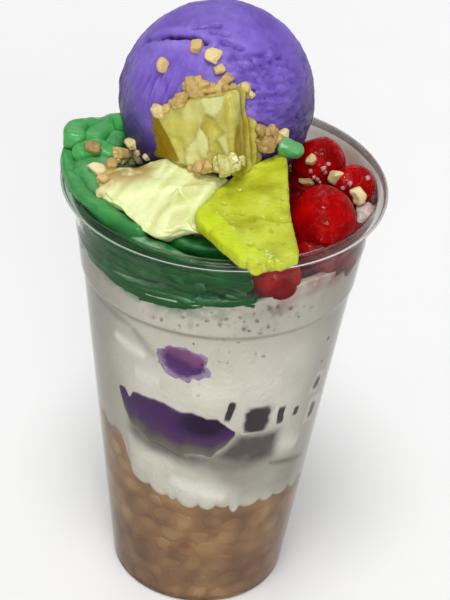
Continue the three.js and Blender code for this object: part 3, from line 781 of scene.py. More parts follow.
# Edges of the stretches that touch the wall, as azimuth, lower and upper height
JAM_FRONT = ((-46.5, 81.4, 82.4), (-43, 75.0, 83.3), (-38, 70.0, 84.0), (-25, 67.0, 84.9),
             (-13, 64.6, 82.8), (-3, 65.4, 82.4), (5, 66.8, 80.6), (11, 70.0, 77.6), (14.5, 74.6, 75.6))
JAM_BACK = ((146, 67.0, 70.0), (156, 64.5, 76.0), (172, 68.0, 82.0), (190, 74.0, 87.0), (204, 80.0, 88.0),
            (210, 85.0, 86.5))
JAM_MIDDLE = 76.0
# How far its top and underside swell in the middle, and where its rings lie there as shares of the radius
JAM_SWELL = 6.0
JAM_SPOKES = (0.1, 0.4, 0.75, 0.93)
# A notch in its upper edge and where it is darkest, as patches like those of the ice
JAM_NOTCH = (-39.5, 0, 1.6, 1, 2.6)
JAM_DENSE = ((-1.5, 78.2, 10.5, 4.6, 1.5), (176, 78, 14, 5, 1.0))


def jam_edge(azimuths):
    """Lower and upper edges of the jam, and how far it reaches past the wall's inner face."""
    low = np.full(len(azimuths), JAM_MIDDLE - 3.0)
    high = np.full(len(azimuths), JAM_MIDDLE + 3.0)
    reach = np.full(len(azimuths), -7.0)
    for stretch in (JAM_FRONT, JAM_BACK):
        at, lows, highs = np.array(stretch).T
        turn = np.where(azimuths < at[0] - 60, azimuths + 360, azimuths)
        here = (turn >= at[0]) & (turn <= at[-1])
        low = np.where(here, np.interp(turn, at, lows), low)
        high = np.where(here, np.interp(turn, at, highs), high)
        reach = np.where(here, JAM_REACH, reach)
    return low, high, reach


def jam_slab():
    azimuths = np.linspace(-180, 180, 360, endpoint=False)
    low, high, reach = jam_edge(azimuths)
    foot = around(azimuths, 34.0, 0)
    ragged = bumps(foot, 3.0, 3)
    low = low + 1.5 * ragged
    high = high + 0.9 * np.roll(ragged, 40) - patch(azimuths, 0, JAM_NOTCH)
    section = [(out, 0.0) for out in JAM_SPOKES]
    section += [(1.0, share) for share in np.linspace(0, 1, 40)]
    section += [(out, 1.0) for out in reversed(JAM_SPOKES)]
    rings = []
    for out, share in section:
        edge = low + share * (high - low)
        middle = JAM_MIDDLE + JAM_SWELL * (2 * share - 1)
        rings.append(around(azimuths, out * (room(edge) + reach), out * edge + (1 - out) * middle))
    shares = np.repeat([share for _, share in section], len(azimuths))
    return *closed_skin(rings), np.concatenate([shares, [0, 1]])


def jam_finish():
    material, place = new_finish("yam_jam")
    share = place.mask("share") + 0.34 * (place.grain(4.5) - 0.5)
    low = ((0.02, 0x68645A), (0.14, 0x5A554E), (0.32, 0x4B2E53))
    jam = share.ramp(*low, (0.5, 0x442058), (0.85, 0x3E1A50), (1.0, 0x50345C))
    jam = place.mask("dense").mix(jam, 0x1B0026)
    inner = place.mask("share").between(0.0, 0.09) * (1 - place.mask("share").between(0.94, 1.0))
    edge = place.mask("share").mix(0x6E675F, 0xB4AEA6)
    jam = (0.8 - 0.8 * inner).mix(jam, edge)
    return dress(material, {
        "Base Color": jam,
        "Roughness": 0.4,
        "Specular IOR Level": 0.15,
        "Normal": place.grain(5.0, 1.0).bump(0.2),
    })


jam_points, jam_faces, jam_shares = jam_slab()
jam_azimuths = azimuth_of(jam_points[:, 0], jam_points[:, 1])
jam_dense = sum(patch(jam_azimuths, jam_points[:, 2], spot) for spot in JAM_DENSE)
jam_masks = {"share": jam_shares, "dense": np.clip(jam_dense, 0, 1)}
purple_jam = new_piece("purple_jam", jam_finish(), jam_points, jam_faces, jam_masks)
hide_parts("yam_jam")

# Jam lumps
# Lumps and crumbs of the same jam caught in the ice higher up and pressed against the wall, ragged, pinker
# where milk has soaked into them.
# Places as azimuth, height, width and height of the lump
JAM_LUMPS = {
    "jam_lump_1": (-11.3, 101.6, 16.5, 13.4),
    "jam_lump_2": (96.0, 95.0, 13.0, 10.0),
    "jam_lump_3": (-118.0, 104.0, 12.0, 11.0),
}
JAM_CRUMBS = ((60.3, 100.8, 2.6), (59.6, 92.4, 2.2), (-7.4, 109.4, 2.0), (78.0, 88.0, 2.4),
              (-96.0, 99.0, 2.2))
LUMP_INSET = 0.14


def jam_lump(azimuth, height, width, tall, finer):
    points, faces = unit_ball(finer)
    ragged = 1 + 0.2 * bumps(points, 0.5, 2) + 0.13 * bumps(points + 3, 0.16, 3)
    share = 0.5 + 0.5 * points[:, 2]
    fringe = ease(np.hypot(points[:, 0], points[:, 2]), 0.7, 0.95)
    points = points * ragged[:, None] * np.array((width, 0.8 * width, tall)) / 2
    points = turned(points, 0, 20, azimuth)
    points += around(azimuth, room(height) - LUMP_INSET * width, height)
    return pressed(points, JAM_REACH), faces, {"share": share, "fringe": fringe}


def lump_finish():
    material, place = new_finish("soaked_jam")
    share = place.mask("share") + 0.3 * (place.grain(3.0) - 0.5)
    low = ((0.1, 0x7A5080), (0.22, 0x54306C), (0.46, 0x4A285E))
    jam = share.ramp(*low, (0.6, 0x6C3C66), (0.8, 0x7A4A78), (0.94, 0x988AA8))
    jam = (0.75 * place.mask("fringe")).mix(jam, 0xA597AE)
    return dress(material, {
        "Base Color": jam,
        "Roughness": 0.4,
        "Specular IOR Level": 0.15,
        "Normal": place.grain(1.2, 4.0).bump(0.25),
    })


soaked_jam = lump_finish()
for lump_name, lump in JAM_LUMPS.items():
    soaked_lump = new_piece("soaked_" + lump_name, soaked_jam, *jam_lump(*lump, finer=5))
    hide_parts(lump_name)
crumb_bits = []
for azimuth, height, width in JAM_CRUMBS:
    crumb_bits.append((*jam_lump(azimuth, height, width, 1.2 * width, finer=3)[:2], 0.7))
crumb_points, crumb_faces, crumb_tones = gathered(crumb_bits)
jam_crumbs = new_piece("jam_crumbs", soaked_jam, crumb_points, crumb_faces, {"share": crumb_tones})

# Dark jelly
# Cubes of dark grass jelly that lie flat against the wall, some of them edge on, with milk between them.
# A knife cut their faces, and milk blurs their edges.
# Places as azimuth, height, width, height of the face and lean in degrees
JELLY_CUBES = (
    (10.4, 84.2, 2.6, 8.6, 10.0),
    (24.2, 80.0, 9.6, 11.8, 3.0),
    (37.0, 79.0, 3.0, 8.0, 0.0),
    (138.0, 93.0, 9.5, 10.0, 6.0),
    (-92.0, 91.0, 9.5, 10.0, -6.0),
    (115.0, 82.0, 7.6, 9.0, 4.0),
)
JELLY_SLIVERS = (
    (46.8, 78.2, 3.6, 5.4, 8.0),
    (61.5, 73.5, 6.5, 10.0, 8.0),
    (60.0, 84.6, 6.0, 8.0, 24.0),
    (151.0, 91.0, 2.8, 8.0, 8.0),
    (103.0, 79.0, 3.2, 7.5, -4.0),
    (-129.0, 83.0, 3.4, 8.0, -10.0),
)
SLIVER_BLUR = 0.3
CUBE_DEPTHS = (4.0, 0.6)


def unit_block(cuts):
    """Points and faces of a cube of side 1, with each face cut into a grid."""
    mesh = bmesh.new()
    bmesh.ops.create_cube(mesh, size=1.0)
    bmesh.ops.subdivide_edges(mesh, edges=mesh.edges, cuts=cuts, use_grid_fill=True)
    return taken_from(mesh)


def rounded(points, size, radius):
    """The points of a unit block as a block of the given size with round edges."""
    size = np.asarray(size, float)
    points = points * size
    core = np.clip(points, -(size / 2 - radius), size / 2 - radius)
    out = points - core
    length = np.maximum(np.linalg.norm(out, axis=1), 1e-6)
    return core + out * (np.minimum(radius, length) / length)[:, None]


def jelly_cube(azimuth, height, width, tall, lean, cuts):
    depth = CUBE_DEPTHS[0] + CUBE_DEPTHS[1] * width
    points, faces = unit_block(cuts)
    edge = np.linalg.norm(points[:, [0, 2]] * 2, ord=4, axis=1)
    points = rounded(points, (width, depth, tall), 0.16 * width)
    crooked = np.stack([bumps(points + azimuth, 3.2), 0 * edge, bumps(points - azimuth, 3.2)], axis=-1)
    points = turned(points + 0.35 * crooked, 8, lean, azimuth)
    points += around(azimuth, room(height) - 0.36 * depth, height)
    return pressed(points, JAM_REACH), faces, edge


def jelly_finish():
    material, place = new_finish("dark_jelly")
    edge = (place.mask("edge") + 0.4 * (place.grain(2.2) - 0.5)).between(0.68, 1.06)
    core = place.grain(3.0).mix(0x2A2026, 0x40353A)
    jelly = edge.mix(core, 0xC0BBAF)
    return dress(material, {"Base Color": jelly, "Roughness": 0.3, "Specular IOR Level": 0.15})


dark_jelly = jelly_finish()
for cube_number, cube in enumerate(JELLY_CUBES, 1):
    cube_points, cube_faces, cube_edges = jelly_cube(*cube, cuts=14)
    cube_masks = {"edge": cube_edges}
    jelly_piece = new_piece(f"jelly_cube_{cube_number}", dark_jelly, cube_points, cube_faces, cube_masks)
    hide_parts(f"dark_jelly_{cube_number}")
sliver_bits = [jelly_cube(*sliver, cuts=8) for sliver in JELLY_SLIVERS]
sliver_points, sliver_faces, sliver_edges = gathered(sliver_bits)
sliver_masks = {"edge": sliver_edges + SLIVER_BLUR}
jelly_slivers = new_piece("jelly_slivers", dark_jelly, sliver_points, sliver_faces, sliver_masks)

# Green jelly
# Strips of soft green jelly, cut and piled along the left wall and over the rim, wet with syrup and with
# milk in the gaps. The strips in the cup lie along the wall, and the heap on the rim folds over itself.
STRIP_REACH = 0.6
# A strip's height as a share of its width
STRIP_HEIGHT = 0.86
# Strips pressed against the wall, each as its thickness and the route of its middle, as azimuth and height
WALL_STRIPS = (
    (2.6, ((-112, 138.4), (-72, 137.8), (-30, 136.2))),
    (2.4, ((-36, 139.0), (-12, 137.8), (13, 135.0))),
    (2.2, ((-106, 134.6), (-56, 134.4), (-10, 132.4))),
    (2.0, ((-22, 134.4), (0, 133.4), (14, 130.6))),
    (2.0, ((-104, 131.2), (-52, 130.8), (-4, 129.2))),
    (1.8, ((-96, 128.4), (-50, 127.6), (12, 127.6))),
    (1.7, ((-84, 126.2), (-42, 124.8), (2, 126.0))),
    (1.7, ((-64, 124.6), (-38, 123.8), (-8, 124.2))),
    (1.5, ((-50, 123.2), (-27, 122.3), (-10, 122.9))),
    (1.4, ((-8, 125.4), (4, 125.6), (16, 126.6))),
    (2.6, ((-160, 126.0), (-128, 128.0), (-92, 126.6))),
    (2.9, ((-166, 130.0), (-132, 133.4), (-96, 131.0))),
    (2.0, ((-114, 123.0), (-90, 124.2), (-62, 126.4))),
    (1.9, ((-112, 119.5), (-90, 120.8), (-66, 124.4))),
    (1.8, ((-110, 116.4), (-92, 117.4), (-73, 121.4))),
)
# The ragged lower edge as azimuth and height, and how many short ends hang there
GREEN_FOOT = ((-58, 123.4), (-40, 123.0), (-28, 121.4), (-16, 121.2), (-2, 124.2), (15, 126.0))
FRINGE = 22
# Strips of the heap on the rim, with routes as azimuth, radius and height
HEAP_STRIPS = (
    (3.0, ((-118, 38, 144.5), (-101, 44.0, 148.6), (-89, 43.8, 148.6))),
    (3.4, ((-132, 31, 144.0), (-110, 36, 146.4), (-90, 40.0, 148.4))),
    (2.6, ((-84, 31, 146.5), (-88, 37, 148.2), (-83, 43.9, 147.2))),
    (2.6, ((-70, 34, 143.4), (-75, 38.5, 145.2), (-77, 44.8, 143.8))),
    (3.2, ((-112, 38, 146.0), (-112, 34.5, 149.0), (-108, 31.0, 152.4))),
    (2.5, ((-106, 43.5, 144.4), (-86, 45.0, 144.0), (-60, 43.4, 142.6), (-30, 40.6, 140.8))),
    (2.8, ((-94, 41.6, 140.6), (-65, 41.8, 141.0), (-38, 41.2, 140.2))),
    (3.0, ((-42, 34.5, 138.6), (-14, 34.5, 138.4), (12, 33.5, 136.8))),
    (3.0, ((-168, 36.5, 137.0), (-140, 38.6, 140.4), (-112, 38, 142.6))),
)
WALL_CORE = (((-156, 32, 131), (-116, 32.5, 133), (-80, 32.5, 133), (-44, 32.5, 133), (-6, 32, 130)), 7.6)
HEAP_CORE = (((-128, 36, 140.5), (-104, 37.5, 142.6), (-80, 37.5, 142.0), (-56, 36, 139.5)), 6.4)


def route_through(stops, steps):
    """Places along a smooth curve through a few stops."""
    stops = np.asarray(stops, float)
    ends = np.concatenate([[2 * stops[0] - stops[1]], stops, [2 * stops[-1] - stops[-2]]])
    places = []
    for a, b, c, d in zip(ends, ends[1:], ends[2:], ends[3:]):
        for t in np.linspace(0, 1, steps, endpoint=False):
            bend = 2 * b + (c - a) * t + (2 * a - 5 * b + 4 * c - d) * t**2 + (3 * b - a - 3 * c + d) * t**3
            places.append(bend / 2)
    return np.array([*places, stops[-1]])


def jelly_strip(stops, thickness, seed, steps=26, sides=18):
    """A soft strip with blunt round ends along a route, with values that mark its upper and lower edges."""
    route = route_through(around(*np.array(stops).T), steps)
    ahead = np.gradient(route, axis=0)
    ahead /= np.linalg.norm(ahead, axis=1)[:, None]
    side = np.cross(ahead, (0, 0, 1))
    side /= np.linalg.norm(side, axis=1)[:, None]
    up = np.cross(side, ahead)
    travel = np.linspace(0, 1, len(route))
    from_end = np.minimum(travel, 1 - travel) * np.linalg.norm(np.diff(route, axis=0), axis=1).sum()
    blunt = np.sqrt(np.clip(1 - (1 - np.clip(from_end / thickness, 0, 1)) ** 2, 0.02, 1))
    angles = np.linspace(0, 2 * np.pi, sides, endpoint=False)
    square = 1 / np.maximum(np.abs(np.cos(angles)) ** 5 + np.abs(np.sin(angles)) ** 5, 0.1) ** (1 / 5)
    rings = []
    for place, s, u, full, share in zip(route, side, up, blunt, travel):
        pinch = 1 + 0.12 * noise.noise(Vector((share * 7, seed, 0.5)))
        lean = 0.5 * noise.noise(Vector((share * 3, seed, 9.5)))
        width = thickness * full * pinch * square
        across = np.outer(width * np.cos(angles + lean), s)
        upward = np.outer(width * np.sin(angles + lean), u)
        rings.append(place + across + STRIP_HEIGHT * upward)
    points, faces = closed_skin(rings)
    points = points + 0.22 * thickness * bumps(points + seed, 2.4 * thickness)[:, None] * (0.4, 0.4, 1)
    edges = np.concatenate([np.tile(ease(np.abs(np.sin(angles)), 0.8, 0.99), len(rings)), [0, 0]])
    return pressed(points, STRIP_REACH + 0.03 * (seed % 5)), faces, edges


def on_wall(stops, thickness):
    """A route of azimuths and heights, with the radius of a strip against the wall between the two."""
    return [(azimuth, room(height) - 0.3 * thickness, height) for azimuth, height in stops]


def green_finish():
    material, place = new_finish("green_jelly")
    height = place.axis("Z")
    # Darker lower down in the cup and lighter on the heap over the rim: painted shade and light
    light_by_height = (height + 8.0 * (place.grain(7.0) - 0.5)).between(137, 150)
    wet = light_by_height.mix(0x074A18, 0x4AA855)
    wet = (0.5 * place.grain(5.0).between(0.5, 0.75)).mix(wet, 0x1F7A36)
    milky = place.mask("milk") * place.grain(4.0).between(0.3, 0.6)
    wet = milky.mix(wet, 0x86AC8A)
    return dress(material, {
        "Base Color": wet,
        "Roughness": 0.34 + 0.2 * place.grain(2.0),
        "Specular IOR Level": 0.25,
        "Coat Weight": 0.3 * light_by_height,
        "Coat Roughness": 0.15,
        "Normal": place.grain(2.2, 3.0).bump(0.35),
    })


strip_bits = []
for (stops, thickness), milk in ((WALL_CORE, 1.0), (HEAP_CORE, 0.25)):
    strip_bits.append((*jelly_strip(stops, thickness, 3, steps=10, sides=20)[:2], milk))
strip_draw = random.Random(SEED + 3)
wall_strips = list(WALL_STRIPS)
for _ in range(FRINGE):
    azimuth = strip_draw.uniform(-58, 14)
    height = np.interp(azimuth, *np.array(GREEN_FOOT).T) + strip_draw.uniform(-0.5, 1.6)
    half, rise = strip_draw.uniform(1.5, 6), strip_draw.uniform(-1.2, 1.2)
    stops = ((azimuth - half, height - rise), (azimuth, height), (azimuth + half, height + rise))
    wall_strips.append((strip_draw.uniform(0.5, 1.0), stops))
for strip_number, (thickness, stops) in enumerate(wall_strips):
    points, faces, edges = jelly_strip(on_wall(stops, thickness), thickness, strip_number)
    strip_bits.append((points, faces, 0.9 * edges))
for strip_number, (thickness, stops) in enumerate(HEAP_STRIPS):
    strip_bits.append((*jelly_strip(stops, thickness, 40 + strip_number)[:2], 0.0))
strip_points, strip_faces, strip_milk = gathered(strip_bits)
green_heap = new_piece("green_heap", green_finish(), strip_points, strip_faces, {"milk": strip_milk})
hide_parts("green_jelly")

# Loose end of green jelly
# A short bit of the same jelly that rests on the wedge's tip, against the scoop. It was cut from a strip,
# and milk has made it paler.
END_CENTRE = np.array((17.8, -6.8, 156.0))
END_SIZE = np.array((4.5, 2.8, 2.8))
END_TURN = (25, 8, -12)
END_TAPER = 0.22
END_MILK = 0.5


def jelly_end():
    points, faces = unit_ball(5)
    squared = points / np.max(np.abs(points), axis=1)[:, None]
    points = (0.56 * points + 0.32 * squared) * END_SIZE
    points[:, 1:] *= 1 - END_TAPER * points[:, :1] / END_SIZE[0]
    points = turned(points, *END_TURN) + END_CENTRE
    return points + 0.5 * bumps(points, 4.4)[:, None] * (0.6, 0.6, 1), faces


end_points, end_faces = jelly_end()
end_masks = {"milk": np.full(len(end_points), END_MILK)}
loose_end = new_piece("loose_end", green_heap.data.materials[0], end_points, end_faces, end_masks)
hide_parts("green_jelly_end")

# Cherries
# Red cherries in syrup, heaped at the right, with one pressed against the front wall and one at the side.
# Each is soft, dimpled where its stalk was, with a thin wet skin.
# Places as the centre, the radius and the turn of the dimple
CHERRIES = {
    "cherry_front": ((28.4, -17.0, 140.0), 9.5, (150, 0, 30)),
    "cherry_back": ((27.0, 12.9, 140.9), 8.1, (-25, 20, 80)),
    "cherry_right": ((37.6, 1.6, 140.6), 6.2, (30, -20, 10)),
    "cherry_low": ((15.9, -32.3, 129.6), 7.6, (60, 10, 50)),
    "cherry_side": ((33.4, -17.4, 127.7), 6.1, (-60, 0, 120)),
}
# The dimple and the seam as depth and width, in shares of the radius
DIMPLE = (0.16, 0.09)
SEAM = (0.03, 0.09)


def cherry(centre, radius, turn):
    points, faces = unit_ball(5)
    dimple = DIMPLE[0] * bell(points[:, 2], 1, DIMPLE[1])
    seam = SEAM[0] * bell(points[:, 0], 0, SEAM[1]) * (points[:, 1] > -0.2)
    soft = 0.045 * bumps(points + radius, 0.9) + 0.012 * bumps(points - radius, 0.16, 3)
    points = turned(points * (1 - dimple - seam + soft)[:, None] * radius, *turn) + centre
    return pressed(points, STRIP_REACH), faces


def cherry_finish():
    material, place = new_finish("red_cherry")
    flesh = place.grain(6.0).ramp((0.3, 0x7C0103), (0.5, 0xA20204), (0.72, 0xC00406))
    height = place.axis("Z")
    # Painted shade: the cherries low in the cup are darker
    flesh = (0.8 * (1 - height.between(126, 137))).mix(flesh, 0x5E0004)
    return dress(material, {
        "Base Color": flesh,
        "Roughness": 0.3,
        "Specular IOR Level": 0.05,
        "Coat Weight": 0.5 * place.grain(1.1, 2.0).between(0.54, 0.64),
        "Coat Roughness": 0.05,
        "Normal": place.grain(1.7, 2.0).bump(0.48),
    })


red_cherry = cherry_finish()
for cherry_name, fruit in CHERRIES.items():
    fruit_piece = new_piece("red_" + cherry_name, red_cherry, *cherry(*fruit))
    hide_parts(cherry_name)

# Cherry syrup
# Thick red syrup that the cherries lie in. It fills the hollow between them, the scoop and the wall, and
# sinks towards the wall.
POOL_TOP = 138.8
POOL_FOOT = 127.0
POOL_MIDDLE = (28.0, -4.0)
POOL_HALF = (20.0, 24.0)
# How fast it sinks towards the wall, and from where
POOL_SLOPE = (0.25, 30.0)
POOL_WAVES = 0.7


def cherry_syrup():
    turns = np.radians(np.linspace(0, 360, 120, endpoint=False))
    outline = np.stack([POOL_HALF[0] * np.cos(turns), POOL_HALF[1] * np.sin(turns), 0 * turns], axis=-1)
    outline *= (1 + 0.13 * bumps(outline, 8.0))[:, None]
    middle = np.array((*POOL_MIDDLE, 0.0))
    rings = [middle + share * outline + (0, 0, POOL_FOOT) for share in (0.3, 0.97)]
    for share in np.linspace(1.0, 0.04, 24):
        ring = middle + share * outline
        sunk = POOL_SLOPE[0] * np.maximum(ring[:, 0] - POOL_SLOPE[1], 0) + 2 * share**6
        ring[:, 2] = POOL_TOP - sunk + POOL_WAVES * bumps(ring, 6.0)
        rings.append(ring)
    points, faces = closed_skin(rings)
    return pressed(points, STRIP_REACH - 0.1), faces


def cherry_syrup_finish():
    material, place = new_finish("cherry_syrup")
    red = place.grain(5.0).ramp((0.35, 0x4E0104), (0.55, 0x7A0206), (0.75, 0x9A0508))
    return dress(material, {
        "Base Color": red,
        "Roughness": 0.2,
        "Specular IOR Level": 0.2,
        "Coat Weight": 0.5 * place.grain(2.0).between(0.5, 0.6),
        "Coat Roughness": 0.05,
        "Normal": place.grain(2.0, 2.0).bump(0.4),
    })


red_syrup = new_piece("red_syrup", cherry_syrup_finish(), *cherry_syrup())

# Cream
# A thick spoonful of pale yellow cream that slopes from the foot of the scoop to the front left rim. The
# spoon drew it out in soft folds that run downhill, and the slice of custard that lies on it presses it in.
CREAM_SIZE = np.array((45.0, 27.0, 8.5))
CREAM_CENTRE = np.array((-12.6, -22.8, 146.0))
CREAM_SLOPE = 0.22
CREAM_YAW = -20.0
FOLD_YAW = -79.0
FOLD_DEPTH = 0.5
# How much higher it stands against the slice
CREAM_RISE = 1.6
# Where its edge is drawn in, or out if below 0, as turn and half width in degrees and share of its size
CREAM_TRIMS = ((-45, 18, 0.17), (-122, 24, 0.11), (-85, 12, -0.11), (28, 22, -0.1))
# The corners of the slice's upper face, its rounded front as shares of the two sides, and its thickness
WEDGE_APEX = np.array((17.0, -3.7, 154.1))
WEDGE_LEFT = np.array((-8.8, -33.8, 148.9))
WEDGE_RIGHT = np.array((21.8, -49.2, 147.9))
WEDGE_FRONT = (0.45, 0.84)
# Where its two long edges bow to the left, as a share of the edge and how far
WEDGE_BOW = ((0.4, 3.2), (0.62, 1.4))
WEDGE_THICKNESS = 4.8


def wedge_axes():
    """The slice's own axes: along its right side, across it and up out of its face."""
    to_left, to_right = WEDGE_LEFT - WEDGE_APEX, WEDGE_RIGHT - WEDGE_APEX
    along = to_right / np.linalg.norm(to_right)
    up = np.cross(to_left, to_right)
    up /= np.linalg.norm(up)
    return np.array((along, np.cross(up, along), up))


def wedge_corners():
    """The slice's corners in its own plane."""
    to_left, to_right = WEDGE_LEFT - WEDGE_APEX, WEDGE_RIGHT - WEDGE_APEX
    front = WEDGE_FRONT[0] * to_left + WEDGE_FRONT[1] * to_right
    left, tip, right = np.array((to_left, front, to_right)) @ wedge_axes()[:2].T
    bows = []
    for edge, (share, out) in zip((left, right), WEDGE_BOW):
        bows.append(share * edge + out * np.array((edge[1], -edge[0])) / np.linalg.norm(edge))
    return np.array((0 * tip, bows[0], left, tip, right, bows[1]))


def under_slice(points):
    """Points pressed down where the slice of custard lies on them."""
    axes = wedge_axes()
    local = (points - WEDGE_APEX) @ axes.T
    corners = wedge_corners()
    inside = np.full(len(points), np.inf)
    for corner, after in zip(corners, np.roll(corners, -1, 0)):
        edge = (after - corner) / np.linalg.norm(after - corner)
        normal = np.array((-edge[1], edge[0]))
        side = np.sign((corners.mean(0) - corner) @ normal)
        inside = np.minimum(inside, side * (local[:, :2] - corner) @ normal)
    excess = np.maximum(local[:, 2] + WEDGE_THICKNESS + 0.4, 0)
    return points - (excess * ease(inside, -0.8, 0.6))[:, None] * axes[2]


def cream_folds(points):
    """Long soft folds, sharp along their crests."""
    along = points * (1 / 17.0, 1 / 3.0, 1 / 9.0)
    crest = 1 - 2.4 * np.abs(ripples(along))
    fine = 1 - 2.4 * np.abs(ripples(2.6 * along + 4.0))
    return crest + 0.35 * fine


def cream_dollop():
    ball, faces = unit_ball(6)
    turn = np.degrees(np.arctan2(ball[:, 1], ball[:, 0]))
    edge = 0.05 * np.sin(5 * ball[:, 0] + 3 * ball[:, 1]) + 0.05 * bumps(ball, 0.5, 3)
    trim = sum(share * bell(turn, middle, wide) for middle, wide, share in CREAM_TRIMS)
    points = ball * (0.5 + edge - trim)[:, None] * CREAM_SIZE
    points[:, :2] *= 1 - 0.3 * ease(-ball[:, 2:], 0.0, 0.6)
    points[:, 2] = points[:, 2] * np.where(ball[:, 2] < 0, 2.2, 1.0) + CREAM_SLOPE * points[:, 1]
    folds = cream_folds(turned(points, 0, 0, FOLD_YAW))
    drawn = 0.45 + 0.55 * ease(ball[:, 0], -0.2, 0.5)
    lumps = 0.5 * bumps(points, 9.0, 3)
    risen = CREAM_RISE * ease(ball[:, 0], 0.2, 0.7) * ease(ball[:, 1], 0.0, 0.5)
    points[:, 2] += (FOLD_DEPTH * drawn * (folds - 0.6) + lumps + risen) * ease(ball[:, 2], 0.0, 0.5)
    # Painted shade at its upper left edge, under the nuts there
    browned = ease(-ball[:, 0], 0.35, 0.75) * ease(ball[:, 1], -0.5, 0.05)
    points = under_slice(turned(points, 0, 0, CREAM_YAW) + CREAM_CENTRE)
    return points, faces, {"fold": folds, "browned": browned}


def cream_finish():
    material, place = new_finish("pale_cream")
    # Darker in the hollows of its folds and paler on their crests: painted shade and light
    fold = place.mask("fold") + 0.5 * (place.grain(3.0) - 0.5)
    cream = fold.ramp((0.0, 0xDBDD95), (0.4, 0xE5EBA6), (1.0, 0xEEF6B8))
    # Painted shade at its upper left edge
    syrup = place.mask("browned") * place.grain(4.0).between(0.2, 0.5)
    cream = syrup.mix(cream, 0xAE8C44)
    return dress(material, {
        "Base Color": cream,
        "Roughness": 0.42,
        "Specular IOR Level": 0.3,
        "Coat Weight": 0.2 * place.grain(5.0),
        "Normal": place.grain(1.1, 4.0).bump(0.2),
    })


pale_cream = new_piece("pale_cream", cream_finish(), *cream_dollop())
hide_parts("cream")

# Custard wedge
# A flat slice of lime-yellow custard that leans from the middle of the heap out over the rim. Its faces are
# soft and pitted, its lower side is a bright cut, and its outer end is torn and wet. Painted shade darkens
# its pits and crease, and painted glints lie on its wet end and beside its front left edge.
WEDGE_ROUND = 1.2
CORNER_ROUND = 0.2
# Where its torn end starts, as a share of its length
TORN_FROM = 0.86
# Where a crease runs across its face
CREASE_AT = 31.0
# A bright band along its front left edge: where it starts to fade and ends, and the line of painted glints
# beside it
BAND = (5.2, 6.4)
GLINT_LINE = (6.2, 1.1)


def wedge_outline(count):
    """The slice's outline in its own plane, with round corners and even steps."""
    corners = wedge_corners()
    places = []
    for corner, before, after in zip(corners, np.roll(corners, 1, 0), np.roll(corners, -1, 0)):
        start = corner + CORNER_ROUND * (before - corner)
        end = corner + CORNER_ROUND * (after - corner)
        for t in np.linspace(0, 1, 9):
            places.append((1 - t) ** 2 * start + 2 * t * (1 - t) * corner + t * t * end)
    places = np.array([*places, places[0]])
    travel = np.concatenate([[0], np.cumsum(np.linalg.norm(np.diff(places, axis=0), axis=1))])
    even = np.linspace(0, travel[-1], count, endpoint=False)
    return np.stack([np.interp(even, travel, places[:, i]) for i in (0, 1)], axis=-1)


def custard_slice():
    outline = wedge_outline(240)
    middle = outline.mean(0)
    spokes = outline - middle
    spoke_length = np.linalg.norm(spokes, axis=1)[:, None]
    far_end = ease(outline[:, 0], TORN_FROM * outline[:, 0].max(), outline[:, 0].max())
    torn = np.array([noise.fractal(Vector((*place / 2.4, 1.5)), 1.0, 2.0, 3) for place in outline])
    spokes = spokes * (1 + (0.012 + 0.035 * far_end) * torn)[:, None]
    section = [(share, WEDGE_ROUND, 0.0) for share in np.linspace(0.02, 1, 46)]
    for angle in np.radians(np.linspace(6, 90, 8)):
        section.append((1.0, WEDGE_ROUND * (1 - math.sin(angle)), -WEDGE_ROUND * (1 - math.cos(angle))))
    lower = [(share, inset, -WEDGE_THICKNESS - drop) for share, inset, drop in reversed(section)]
    rings = []
    for share, inset, drop in section + lower:
        flat = middle + spokes * share * (1 - inset / spoke_length)
        rings.append(np.column_stack([flat, np.full(len(flat), drop)]))
    points, faces = closed_skin(rings)
    torn_end = ease(points[:, 0], TORN_FROM * points[:, 0].max(), points[:, 0].max())
    side = ease(-points[:, 2], 0.35, 1.1) * ease(WEDGE_THICKNESS + points[:, 2], 0.2, 0.8)
    side = side * (1 - 0.7 * torn_end)
    low = ease(-points[:, 2], 3.2, 4.6)
    left, tip = wedge_corners()[2:4]
    edge = (tip - left) / np.linalg.norm(tip - left)
    from_edge = np.abs((points[:, :2] - left) @ np.array((edge[1], -edge[0]))) + 0.9 * bumps(points, 4.0)
    band = 1 - ease(from_edge, *BAND)
    upper = ease(points[:, 2], -WEDGE_THICKNESS, 0)
    swell = 0.9 * bumps(points, 9.0, 2)
    pits = ripples(points / 2.1)
    fold = points[:, 0] - CREASE_AT + 1.3 * np.sin(points[:, 1] / 2.2)
    crease = bell(fold, 0, 0.7) * ease(points[:, 1], -11, -8)
    points[:, 2] += upper * (swell - 0.5 * ease(pits, 0.42, 0.7) - 0.9 * crease)
    points[:, 2] *= 1 - 0.35 * torn_end
    points[:, 0] += 1.3 * torn_end * bumps(points, 2.4)
    pitted = ease(pits, 0.36, 0.62) * upper
    glint = bell(from_edge, *GLINT_LINE) * upper
    masks = {
        "side": np.maximum(side, 0.8 * band * (1 - 0.6 * torn_end)),
        "low": low,
        "pit": np.maximum(pitted, crease),
        "torn": np.maximum(0.75 * torn_end * upper, glint),
    }
    return points @ wedge_axes() + WEDGE_APEX, faces, masks


